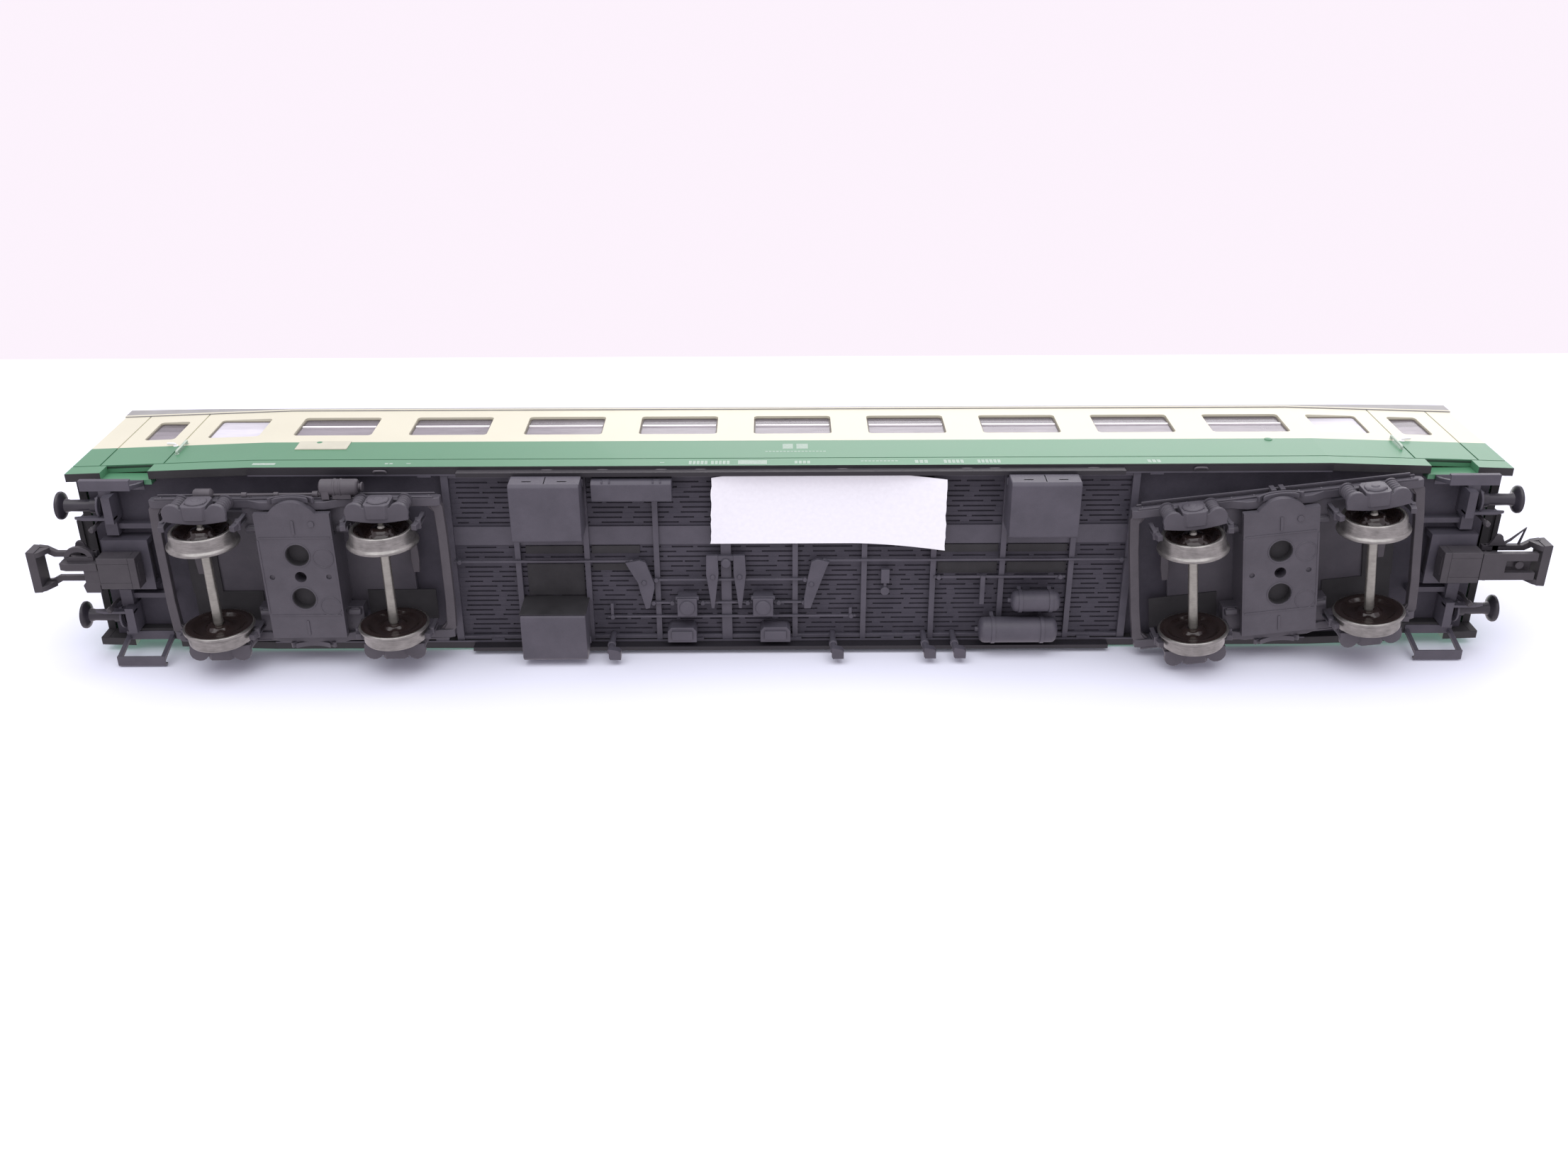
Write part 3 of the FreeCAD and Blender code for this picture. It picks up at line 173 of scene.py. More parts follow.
class Nodes:
    """A small helper to wire one material's nodes."""

    def __init__(self, name):
        self.material = bpy.data.materials.new(name)
        self.material.use_nodes = True
        self.tree = self.material.node_tree
        self.shader = self.tree.nodes["Principled BSDF"]
        self.place = self.tree.nodes.new("ShaderNodeTexCoord").outputs["Object"]

    def link(self, start, end):
        self.tree.links.new(start, end)

    def feed(self, **outputs):
        """Link outputs to the shader's own inputs."""
        for name, output in outputs.items():
            self.link(output, self.shader.inputs[name.replace("_", " ")])

    def noise(self, scale, detail=4.0, rough=0.55, place=None):
        node = self.tree.nodes.new("ShaderNodeTexNoise")
        node.inputs["Scale"].default_value = scale
        node.inputs["Detail"].default_value = detail
        node.inputs["Roughness"].default_value = rough
        self.link(place or self.place, node.inputs["Vector"])
        return node.outputs["Fac"]

    def stretched(self, x, y, z):
        node = self.tree.nodes.new("ShaderNodeMapping")
        node.inputs["Scale"].default_value = (x, y, z)
        self.link(self.place, node.inputs["Vector"])
        return node.outputs["Vector"]

    def ramp(self, factor, dark, light, edge=0.3):
        """Fade from a dark to a light colour over the middle of a factor's range."""
        node = self.tree.nodes.new("ShaderNodeValToRGB")
        for element, position, color in zip(node.color_ramp.elements, (edge, 1 - edge), (dark, light)):
            element.position = position
            element.color = (*color, 1)
        self.link(factor, node.inputs["Fac"])
        return node.outputs["Color"]

    def math(self, operation, first, second=None, clamp=False):
        node = self.tree.nodes.new("ShaderNodeMath")
        node.operation = operation
        node.use_clamp = clamp
        for socket, value in zip(node.inputs, (first, second)):
            if isinstance(value, (int, float)):
                socket.default_value = value
            elif value is not None:
                self.link(value, socket)
        return node.outputs[0]

    def mix(self, factor, first, second):
        node = self.tree.nodes.new("ShaderNodeMix")
        node.data_type = "RGBA"
        for name, value in (("Factor", factor), ("A", first), ("B", second)):
            socket = [item for item in node.inputs if item.name == name and item.enabled][0]
            if isinstance(value, tuple):
                socket.default_value = (*value, 1)
            else:
                self.link(value, socket)
        return [item for item in node.outputs if item.enabled][0]

    def blend(self, first, second, share):
        """Add two factors, the first with the given share."""
        return self.math("ADD", self.math("MULTIPLY", first, share), self.math("MULTIPLY", second, 1 - share))

    def bump(self, height, strength, distance):
        node = self.tree.nodes.new("ShaderNodeBump")
        node.inputs["Strength"].default_value = strength
        node.inputs["Distance"].default_value = distance
        self.link(height, node.inputs["Height"])
        self.feed(Normal=node.outputs["Normal"])

    def span(self, factor, low, high):
        """Spread a 0 to 1 factor over a low to high range."""
        return self.math("ADD", self.math("MULTIPLY", factor, high - low), low)

    def past(self, value, limit):
        return self.math("GREATER_THAN", value, limit)

    def axis(self, letter):
        node = self.tree.nodes.new("ShaderNodeSeparateXYZ")
        self.link(self.place, node.inputs[0])
        return node.outputs[letter.upper()]


def moulded_plastic(name, dark, light, rough=(0.42, 0.6), grain=9000, bump=0.35, floor_shade=False):
    """Satin moulded plastic: faint mottling, fine grain and rubbed highlights.

    The floor_shade kind is painted with shade: darker and duller up in the floor, and darker along the outer sills
    under the side walls.
    """
    nodes = Nodes(name)
    broad = nodes.noise(260, 5, 0.6)
    fine = nodes.noise(grain, 3, 0.6)
    color = nodes.ramp(nodes.blend(broad, fine, 0.7), dark, light, 0.32)
    if floor_shade:
        # Painted shade: the colour darkens up in the floor's recess and along the outer sills, and the gloss drops
        # in the recess.
        depth = nodes.math("MULTIPLY", nodes.math("SUBTRACT", nodes.axis("z"), FLOOR_LEVEL), 4000, clamp=True)
        edge = nodes.past(nodes.math("ABSOLUTE", nodes.axis("y")), SILL_REACH)
        sill = nodes.math("MULTIPLY", edge, nodes.past(nodes.axis("z"), SILL_LEVEL))
        dull = nodes.math("MAXIMUM", nodes.math("MULTIPLY", depth, 0.15), nodes.math("MULTIPLY", sill, 0.8))
        color = nodes.mix(nodes.math("SUBTRACT", 1.0, dull), (0.004, 0.0035, 0.005), color)
        gloss = nodes.math("SUBTRACT", 0.45, nodes.math("MULTIPLY", depth, 0.25))
        nodes.feed(Specular_IOR_Level=gloss)
    else:
        nodes.shader.inputs["Specular IOR Level"].default_value = 0.45
    nodes.feed(Base_Color=color, Roughness=nodes.span(broad, *rough))
    nodes.bump(fine, bump, 0.00004)
    return nodes.material


def plated_metal(name, dark, light, rough, turned):
    """Plated or turned metal with fine rings round its axle and slight tarnish."""
    nodes = Nodes(name)
    broad = nodes.noise(600, 4, 0.6)
    rings = nodes.noise(1.0, 2, 0.5, nodes.stretched(*turned))
    color = nodes.ramp(nodes.blend(broad, rings, 0.55), dark, light)
    nodes.feed(Base_Color=color, Roughness=nodes.span(rings, *rough))
    nodes.shader.inputs["Metallic"].default_value = 0.85
    nodes.bump(rings, 0.25, 0.00003)
    return nodes.material


CREAM = (0.57, 0.565, 0.44), (0.61, 0.605, 0.475)


def coach_paint():
    """Cream window band over green, printed to a sharp line, with the faint orange peel of real paint."""
    nodes = Nodes("coach_paint")
    height = nodes.axis("z")
    wander = nodes.math("MULTIPLY", nodes.noise(500, 2), 0.00006)
    above = nodes.past(nodes.math("ADD", height, wander), PAINT_LINE)
    broad = nodes.noise(45, 4, 0.6)
    fine = nodes.noise(7000, 2, 0.5)
    green = nodes.ramp(broad, (0.064, 0.205, 0.108), (0.078, 0.232, 0.126))
    color = nodes.mix(above, green, nodes.ramp(broad, *CREAM))
    nodes.feed(Base_Color=color, Roughness=nodes.span(broad, 0.36, 0.48))
    nodes.bump(fine, 0.15, 0.00003)
    nodes.shader.inputs["Coat Weight"].default_value = 0.05
    return nodes.material


def roof_paint():
    """Matt grey roof paint that stops just above the cream of the cantrail."""
    nodes = Nodes("roof_paint_grey")
    broad = nodes.noise(300, 4, 0.6)
    grey = nodes.ramp(broad, (0.26, 0.265, 0.26), (0.31, 0.315, 0.31))
    color = nodes.mix(nodes.past(nodes.axis("z"), ROOF_EDGE), nodes.ramp(broad, *CREAM), grey)
    nodes.feed(Base_Color=color, Roughness=nodes.span(broad, 0.5, 0.65))
    nodes.bump(nodes.noise(4000, 2, 0.5), 0.2, 0.00003)
    return nodes.material


def clear_plastic(name, dark, light, rough, alpha, shade):
    """Moulded glazing: slightly cloudy and tinted, with soft streaks, and duller above the drop-light bar."""
    nodes = Nodes(name)
    streaks = nodes.noise(1.0, 3, 0.6, nodes.stretched(160, 160, 900))
    upper = nodes.math("MULTIPLY", nodes.past(nodes.axis("z"), GLAZING_BAR), shade)
    color = nodes.mix(upper, nodes.ramp(streaks, dark, light), (0.0, 0.0, 0.0))
    nodes.feed(Base_Color=color, Roughness=nodes.span(streaks, *rough), Alpha=nodes.span(streaks, *alpha))
    nodes.shader.inputs["Specular IOR Level"].default_value = 0.6
    nodes.bump(streaks, 0.1, 0.00005)
    return nodes.material


def plain_paint(name, low, high, rough=(0.5, 0.65), scale=400):
    """Matt paint, print or paper with soft mottling and a fine grain."""
    nodes = Nodes(name)
    broad = nodes.noise(scale, 4, 0.6)
    fine = nodes.noise(scale * 12, 2, 0.5)
    nodes.feed(Base_Color=nodes.ramp(broad, low, high), Roughness=nodes.span(broad, *rough))
    nodes.bump(fine, 0.2, 0.00003)
    return nodes.material


MATERIALS = {
    "body_paint": coach_paint(),
    "roof_paint": roof_paint(),
    "clear_plastic": clear_plastic("glazing_plastic", (0.30, 0.28, 0.31), (0.38, 0.36, 0.39), (0.08, 0.2),
                                   (0.6, 0.72), 0.4),
    "frosted_plastic": clear_plastic("frosted_glazing", (0.56, 0.56, 0.62), (0.66, 0.66, 0.72), (0.3, 0.5),
                                     (0.93, 0.99), 0.12),
    "bright_trim": plain_paint("bright_trim_paint", (0.80, 0.79, 0.80), (0.90, 0.89, 0.90), (0.3, 0.45)),
    "bellows_plastic": moulded_plastic("bellows_black", (0.018, 0.018, 0.02), (0.035, 0.035, 0.038),
                                       (0.6, 0.8)),
    "interior_plastic": moulded_plastic("interior_brown", (0.16, 0.11, 0.08), (0.22, 0.16, 0.12), (0.6, 0.75)),
    "ballast_steel": plated_metal("ballast_plate_steel", (0.35, 0.35, 0.36), (0.5, 0.5, 0.5), (0.35, 0.55),
                                  (60, 900, 900)),
    "underframe_plastic": moulded_plastic("underframe_black", (0.054, 0.053, 0.068), (0.080, 0.077, 0.097),
                                          floor_shade=True),
    "bogie_plastic": moulded_plastic("bogie_black", (0.056, 0.054, 0.066), (0.080, 0.077, 0.092),
                                     (0.38, 0.55)),
    "buffer_plastic": moulded_plastic("buffer_black", (0.022, 0.021, 0.028), (0.036, 0.034, 0.044),
                                      (0.28, 0.42)),
    "coupler_plastic": moulded_plastic("coupler_black", (0.036, 0.034, 0.040), (0.056, 0.053, 0.060),
                                       (0.38, 0.55)),
    "axle_steel": plated_metal("axle_bright_steel", (0.26, 0.26, 0.235), (0.40, 0.40, 0.36), (0.28, 0.42),
                               (900, 5000, 900)),
    "tyre_metal": plated_metal("tyre_nickel", (0.17, 0.168, 0.16), (0.34, 0.335, 0.32), (0.26, 0.42),
                               (700, 9000, 700)),
    "wheel_plastic": moulded_plastic("wheel_gloss_black", (0.012, 0.008, 0.008), (0.026, 0.018, 0.016),
                                     (0.09, 0.18), 5000, 0.1),
    "paper": plain_paint("tag_paper", (0.84, 0.87, 0.91), (0.89, 0.92, 0.96), (0.8, 0.95), 1500),
}
PRINT_WHITE = plain_paint("printed_white", (0.26, 0.36, 0.29), (0.36, 0.46, 0.39), (0.5, 0.6), 2500)
# A dark green strip of painted shadow for the step at the panel seam.
SEAM_SHADOW = moulded_plastic("seam_shadow_green", (0.012, 0.035, 0.02), (0.02, 0.05, 0.03))
GENERATOR_GREY = moulded_plastic("generator_grey", (0.055, 0.052, 0.06), (0.085, 0.08, 0.09))
BLACK = MATERIALS["bellows_plastic"]


def paint_cad_nodes():
    """Give every CAD node the material of its slot."""
    slots = {part["node"]: part["material_slot"] for part in frame["record"]["subparts"]}
    for name, item in frame["nodes"].items():
        material = MATERIALS[slots[name]]
        if not item.material_slots:
            item.data.materials.append(material)
        for holder in item.material_slots:
            holder.material = material


# ---------------------------------------------------------------- mesh helpers, in millimetres

def arc(x, y, radius, start, end, steps=8, height=None):
    """Give points on a circular or oval arc, from one angle in degrees to another."""
    angles = [math.radians(start + (end - start) * step / steps) for step in range(steps + 1)]
    tall = radius if height is None else height
    return [(x + radius * math.cos(angle), y + tall * math.sin(angle)) for angle in angles]


def flip(points, hand):
    """Multiply the first place of each pair by a hand or a sign."""
    return [(hand * u, v) for u, v in points]


def spread(hand, first, second):
    """Give a span on one side or at one end, lowest place first."""
    return sorted((hand * first, hand * second))


def lift(axis, along, u, v):
    """Turn a place along an axis and two cross-section places into a point."""
    if axis == "x":
        return Vector((along, u, v))
    if axis == "y":
        return Vector((u, along, v))
    return Vector((u, v, along))


def bridge(bm, rings):
    """Join each ring of corners to the next; a ring of one corner is a tip."""
    for first, second in zip(rings, rings[1:]):
        count = max(len(first), len(second))
        for step in range(count):
            after = (step + 1) % count
            corners = (first[step % len(first)], second[step % len(second)],
                       second[after % len(second)], first[after % len(first)])
            bm.faces.new(list(dict.fromkeys(corners)))


def add_prism(bm, outline, axis, start, end):
    """Add a closed outline extruded along an axis."""
    rings = [[bm.verts.new(lift(axis, along, u, v)) for u, v in outline] for along in (start, end)]
    bm.faces.new(rings[0])
    bm.faces.new(list(reversed(rings[1])))
    bridge(bm, rings)


def add_block(bm, x, y, z):
    """Add a block from its three spans."""
    add_prism(bm, [(x[0], y[0]), (x[1], y[0]), (x[1], y[1]), (x[0], y[1])], "z", z[0], z[1])


def add_lathe(bm, profile, axis, centre, steps=40, closed=False):
    """Add a turned solid from (place along the axis, radius) pairs.

    Zero radii close its ends, or the profile closes on itself.
    """
    rings = []
    for along, radius in profile:
        angles = [2 * math.pi * step / steps for step in range(steps if radius > 0 else 1)]
        rings.append([bm.verts.new(lift(axis, centre[0] + along, centre[1] + radius * math.cos(angle),
                                        centre[2] + radius * math.sin(angle))) for angle in angles])
    bridge(bm, rings + rings[:1] if closed else rings)


def add_tube(bm, points, radius, steps=10):
    """Add a round wire along a list of points, with flat ends."""
    path = [Vector(point) for point in points]
    side = None
    rings = []
    for number, point in enumerate(path):
        ahead = path[min(number + 1, len(path) - 1)] - path[max(number - 1, 0)]
        ahead.normalize()
        if side is None:
            side = ahead.orthogonal().normalized()
        side = (side - ahead * side.dot(ahead)).normalized()
        other = ahead.cross(side)
        circle = arc(0, 0, radius, 0, 360, steps)[:-1]
        rings.append([bm.verts.new(point + (side * u + other * v)) for u, v in circle])
    bridge(bm, rings)
    bm.faces.new(list(reversed(rings[0])))
    bm.faces.new(rings[-1])


def smooth_path(points, steps=6):
    """Round a short list of points into a smooth path through them."""
    path = [Vector(point) for point in points]
    ends = [path[0] * 2 - path[1]] + path + [path[-1] * 2 - path[-2]]
    result = []
    for a, b, c, d in zip(ends, ends[1:], ends[2:], ends[3:]):
        for step in range(steps):
            t = step / steps
            result.append(0.5 * (2 * b + (c - a) * t + (2 * a - 5 * b + 4 * c - d) * t * t
                                 + (3 * b - a - 3 * c + d) * t ** 3))
    return result + [path[-1]]


def piece(name, build, slot, body="coach", place=None, bevel=0.0, nodes=(), smooth=38, paint=None,
          copies=ONCE):
    """Make one piece from a function that fills a bmesh, once for each mirrored copy, and ride it."""
    bm = bmesh.new()
    for sign, hand in copies:
        known = len(bm.verts)
        build(bm)
        bm.verts.ensure_lookup_table()
        bmesh.ops.transform(bm, matrix=Matrix.Diagonal((sign, hand, 1, 1)), verts=bm.verts[known:])
    bmesh.ops.transform(bm, matrix=Matrix.Scale(MM, 4) @ (place or Matrix()), verts=bm.verts)
    bmesh.ops.recalc_face_normals(bm, faces=bm.faces)
    mesh = bpy.data.meshes.new(name)
    bm.to_mesh(mesh)
    bm.free()
    mesh.shade_smooth()
    mesh.set_sharp_from_angle(angle=math.radians(smooth))
    mesh.materials.append(paint or MATERIALS[slot])
    item = add_to_scene(name, mesh)
    if bevel:
        edge = item.modifiers.new("edges", "BEVEL")
        edge.width = bevel * MM
        edge.segments = 2
        edge.limit_method = "ANGLE"
        edge.angle_limit = math.radians(38)
        edge.use_clamp_overlap = True
    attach(item, body)
    if nodes:
        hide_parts(*nodes)


def wheelset_turn(name):
    """Give the yaw of a wheelset's axle, from its joint's axis."""
    axis = JOINTS[name]["axis"]
    return Matrix.Rotation(math.atan2(-axis[0], axis[1]), 4, "Z")


# ---------------------------------------------------------------- wheelsets

WHEEL_BACK = 7.2


def make_wheelset(name):
    """Flanged tyres, dished centres with raised hubs, and the shouldered axle of one wheelset."""
    centre = Vector(JOINTS[f"{name}_spin"]["pos_m"]) / MM
    place = Matrix.Translation(centre) @ wheelset_turn(f"{name}_spin")

    def tyres(bm):
        shape = [(0.0, 4.62), (0.0, 5.42), (0.12, 5.68), (0.32, 5.75), (0.52, 5.66), (0.68, 5.42), (0.84, 5.27),
                 (1.06, 5.2), (1.3, 5.17), (2.5, 5.08), (2.72, 4.98), (2.8, 4.82), (2.8, 4.5), (2.68, 4.38),
                 (0.12, 4.38), (0.0, 4.5)]
        add_lathe(bm, shape, "y", (WHEEL_BACK, 0, 0), 72, closed=True)

    def centres(bm):
        shape = [(2.55, 4.4), (2.62, 4.2), (2.45, 3.95), (1.95, 3.65), (1.6, 3.25), (1.55, 2.8), (1.75, 2.3),
                 (2.2, 1.95), (2.62, 1.75), (2.8, 1.45), (2.82, 0.8), (-0.05, 0.8), (-0.02, 1.5), (0.12, 1.75),
                 (0.42, 2.0), (0.6, 2.5), (0.62, 3.3), (0.45, 3.8), (0.1, 4.15), (-0.06, 4.45), (-0.09, 5.15),
                 (-0.03, 5.36), (0.04, 5.3), (0.04, 4.4)]
        add_lathe(bm, shape, "y", (WHEEL_BACK, 0, 0), 56, closed=True)

    def axle(bm):
        half = [(0.0, 0.8), (6.9, 0.8), (7.0, 0.72), (9.9, 0.72), (10.1, 0.62), (10.3, 0.5), (12.3, 0.5),
                (12.5, 0.36), (12.5, 0.0)]
        add_lathe(bm, flip(reversed(half[1:]), -1) + half, "y", (0, 0, 0), 32)

    piece(f"{name}_rims", tyres, "tyre_metal", name, place, nodes=[f"{name}_tyres"], smooth=50, copies=BOTH_HANDS)
    piece(f"{name}_dishes", centres, "wheel_plastic", name, place, nodes=[f"{name}_centres"], smooth=50,
          copies=BOTH_HANDS)
    piece(f"{name}_shaft", axle, "axle_steel", name, place, nodes=[f"{name}_axle"], smooth=30)


# ---------------------------------------------------------------- bogies

AXLE_OFFSET = 14.4
AXLE_HEIGHT = 5.75


def bogie_matrix(end):
    """Give the matrix from a bogie's own place, at floor level, to the coach."""
    centre = Vector(JOINTS[f"bogie_{end}_swivel"]["pos_m"]) / MM
    centre.z = 0
    return Matrix.Translation(centre) @ wheelset_turn(f"wheelset_{end}_inner_spin")


def plank_outline(x, hand):
    """The spring plank seen from below: two spring cups joined by a waist with a bowed inner edge."""
    bow = 0.6 if hand < 0 else 0.15
    inner = [(x - 5.0 + 10.0 * step / 8, 11.15 - bow * math.sin(math.pi * step / 8)) for step in range(9)]
    cups = arc(x + 3.5, 12.4, 1.6, -25, 150) + arc(x - 3.5, 12.4, 1.6, 30, 205)
    return [(u, hand * v) for u, v in inner + cups]


def add_spring(bm, x, y, bottom, top, radius):
    """A coil spring as a stack of rounded turns between two cups."""
    turns = 5
    profile = [(0, 0), (0, radius + 0.15), (0.35, radius + 0.15)]
    pitch = (top - bottom - 0.7) / turns
    for turn in range(turns):
        start = 0.35 + turn * pitch
        profile += [(start + pitch * 0.08, radius - 0.28), (start + pitch * 0.3, radius - 0.02),
                    (start + pitch * 0.6, radius), (start + pitch * 0.92, radius - 0.28)]
    profile += [(top - bottom - 0.35, radius + 0.1), (top - bottom, radius + 0.1), (top - bottom, 0)]
    add_lathe(bm, profile, "z", (bottom, x, y), 24)


def make_side_frames(end, place):
    """Side frames with flanged beams, axle boxes, spring planks, coil springs, tie bars and rivets."""
    body = f"bogie_{end}"

    def beams(bm):
        outline = [(-23.4, 9.3), (-22.6, 9.0), (-7.4, 9.0), (-5.2, 7.9), (5.2, 7.9), (7.4, 9.0), (22.6, 9.0),
                   (23.4, 9.3), (23.4, 10.6), (22.6, 11.0), (-22.6, 11.0), (-23.4, 10.6)]
        add_prism(bm, outline, "y", 11.3, 12.7)
        add_block(bm, (-22.4, 22.4), (12.7, 13.05), (10.68, 10.98))
        add_block(bm, (-22.4, 22.4), (12.7, 13.05), (9.02, 9.3))
        for step in range(13):
            rivet = [(0, 0.0), (0, 0.26), (0.16, 0.24), (0.26, 0.14), (0.3, 0)]
            add_lathe(bm, rivet, "y", (12.68, -21.6 + step * 3.6, 10.0), 12)

    def planks(bm):
        for sign, hand in CORNERS:
            add_prism(bm, plank_outline(sign * AXLE_OFFSET, hand), "z", 4.0, 4.8)

    def springs(bm):
        for shift in (-3.5, 3.5):
            add_spring(bm, AXLE_OFFSET + shift, 12.4, 4.7, 9.1, 1.15)

    def axle_boxes(bm):
        x = AXLE_OFFSET
        shape = [(x - 1.5, 3.65), (x + 1.5, 3.65), (x + 2.05, 4.25), (x + 2.05, 7.6), (x + 1.5, 8.3),
                 (x - 1.5, 8.3), (x - 2.05, 7.6), (x - 2.05, 4.25)]
        add_prism(bm, shape, "y", 11.35, 13.75)
        lid = [(0, 0), (0, 1.75), (0.22, 1.7), (0.34, 1.45), (0.34, 0.7), (0.5, 0.55), (0.5, 0)]
        add_lathe(bm, lid, "y", (13.7, x, 5.95), 28)
        for rib in (x - 1.45, x + 1.45):
            web = [(12.8, 4.95), (14.0, 4.95), (13.9, 5.45), (12.8, 7.95)]
            add_prism(bm, web, "x", rib - 0.18, rib + 0.18)
        guard = [(x - 2.6, 8.1), (x + 2.6, 8.1), (x + 3.4, 9.1), (x - 3.4, 9.1)]
        add_prism(bm, guard, "y", 11.4, 12.95)

    def tie_bars(bm):
        leaf = arc(0, 3.2, 5.9, 50, 130, 10) + arc(0, 3.2, 5.45, 130, 50, 10)
        for hand in HANDS:
            y = hand * 13.1
            if end == "plus":
                add_block(bm, (-21.6, 21.6), spread(hand, 13.1, 13.5), (10.5, 10.8))
                for strap in ((-1.0, -0.2), (0.5, 1.3)):
                    add_block(bm, strap, spread(hand, 12.45, 13.75), (9.2, 11.05))
            add_prism(bm, leaf, "y", y - 0.5, y + 0.45)
            add_prism(bm, [(u, v - 0.62) for u, v in leaf if abs(u) < 3.1], "y", y - 0.45, y + 0.4)

    slot = "bogie_plastic"
    piece(f"{body}_beams", beams, slot, body, place, 0.1, [f"{body}_side_frames"], copies=BOTH_HANDS)
    piece(f"{body}_spring_planks", planks, slot, body, place, 0.12)
    piece(f"{body}_coil_springs", springs, slot, body, place, copies=CORNERS)
    piece(f"{body}_axle_boxes", axle_boxes, slot, body, place, 0.1, copies=CORNERS)
    piece(f"{body}_tie_bars", tie_bars, slot, body, place, 0.06)


def make_brakes(end, place):
    """Curved brake shoes on forked hangers with cross pins."""
    def shoes(bm):
        for middle in (180, 0):
            curve = arc(AXLE_OFFSET, AXLE_HEIGHT, 5.4, middle - 17, middle + 17, 6)
            back = arc(AXLE_OFFSET, AXLE_HEIGHT, 6.3, middle + 17, middle - 17, 6)
            add_prism(bm, curve + back, "y", 9.3, 10.2)

    def hangers(bm):
        for x in (AXLE_OFFSET - 6.05, AXLE_OFFSET + 6.05):
            for y in (9.2, 10.05):
                bar = [(x - 0.3, 5.25), (x + 0.3, 5.25), (x + 0.35, 9.4), (x - 0.35, 9.4)]
                add_prism(bm, bar, "y", y, y + 0.25)
            pin = [(0, 0), (0, 0.42), (1.5, 0.42), (1.5, 0)]
            add_lathe(bm, pin, "y", (8.95, x, AXLE_HEIGHT), 16)

    body = f"bogie_{end}"
    slot = "bogie_plastic"
    piece(f"{body}_shoes", shoes, slot, body, place, 0.05, [f"{body}_brake_shoes"], copies=CORNERS)
    piece(f"{body}_shoe_hangers", hangers, slot, body, place, 0.05, copies=CORNERS)


def make_bogie_frame_details(end, place):
    """Mould marks, hole rims, transoms and chairs, with painted shade: dark cups in the bottom plate's holes and
    dark plates over the far wheels.
    """
    body = f"bogie_{end}"

    def marks(bm):
        ring = [(0, 1.55), (-0.1, 1.6), (-0.1, 1.72), (0, 1.78)]
        for x, y in ((4.1, -3.4), (4.2, 5.4)):
            add_lathe(bm, ring, "z", (6.62, x, y), 28, closed=True)
        for hand in HANDS:
            rim = [(0.03, 1.9), (-0.13, 1.98), (-0.13, 2.12), (0.03, 2.2)]
            add_lathe(bm, rim, "z", (6.62, 0, hand * 3.9), 32, closed=True)
            add_block(bm, (-5.7, 5.7), (hand * 7.0 - 0.12, hand * 7.0 + 0.12), (6.5, 6.64))
        add_block(bm, (-0.22, 0.22), (-10.0, -7.6), (6.42, 6.64))
        add_block(bm, (-0.2, 0.2), (8.0, 10.6), (6.44, 6.64))
        add_lathe(bm, [(-0.22, 0), (-0.22, 0.5), (0, 0.55), (0.1, 0)], "z", (6.6, 3.0, -9.4), 16)
        for sign in HANDS:
            add_block(bm, (sign * 6.0 - 0.15, sign * 6.0 + 0.15), (-6.6, 6.6), (6.5, 6.9))

    def transoms(bm):
        curve = [(22.3, -11.3), (22.95, -10.2), (23.15, -5.6), (23.15, 5.6), (22.95, 10.2), (22.3, 11.3)]
        inner = [(x - 0.75, y) for x, y in curve]
        outer = [(x + 0.72, y * 1.08) for x, y in reversed(curve)]
        add_prism(bm, inner + outer, "z", 9.3, 10.5)
        for hand in HANDS:
            add_prism(bm, [(20.9, hand * 11.3), (22.9, hand * 11.3), (22.9, hand * 9.3)], "z", 9.5, 10.3)
        link = [(17.4, -7.0), (18.2, -7.0), (18.5, -1.0), (18.3, 1.4), (17.3, 1.4), (17.1, -1.0)]
        add_prism(bm, link, "z", 10.9, 11.6)

    def chairs(bm):
        add_block(bm, (6.6, 8.0), (6.9, 8.3), (8.9, 10.4))
        add_lathe(bm, [(-1.0, 0), (-1.0, 0.55), (1.0, 0.55), (1.0, 0)], "x", (7.3, 7.6, 9.0), 16)

    def wells(bm):
        # Painted shade: black cups inside the bottom plate's holes, and black plates over the far wheels and the
        # bogie's outer end.
        cup = [(8.18, 0), (8.18, 1.88), (6.75, 1.88), (6.75, 1.8), (8.05, 1.8), (8.05, 0)]
        for sign in HANDS:
            add_lathe(bm, cup, "z", (0, 0, sign * 3.9), 32)
            add_block(bm, spread(sign, 8.8, 20.2), (5.4, 10.9), (12.55, 12.78))
        add_block(bm, spread(ENDS[end], 15.4, 20.4), (-5.6, 5.6), (12.5, 12.74))

    slot = "bogie_plastic"
    piece(f"{body}_mould_marks", marks, slot, body, place, 0.03)
    piece(f"{body}_transoms", transoms, slot, body, place, 0.1, paint=GENERATOR_GREY, copies=BOTH_ENDS)
    piece(f"{body}_chairs", chairs, slot, body, place, 0.08, copies=CORNERS)
    # These black wells are painted shade.
    piece(f"{body}_wheel_well_shade", wells, slot, body, place, paint=BLACK)


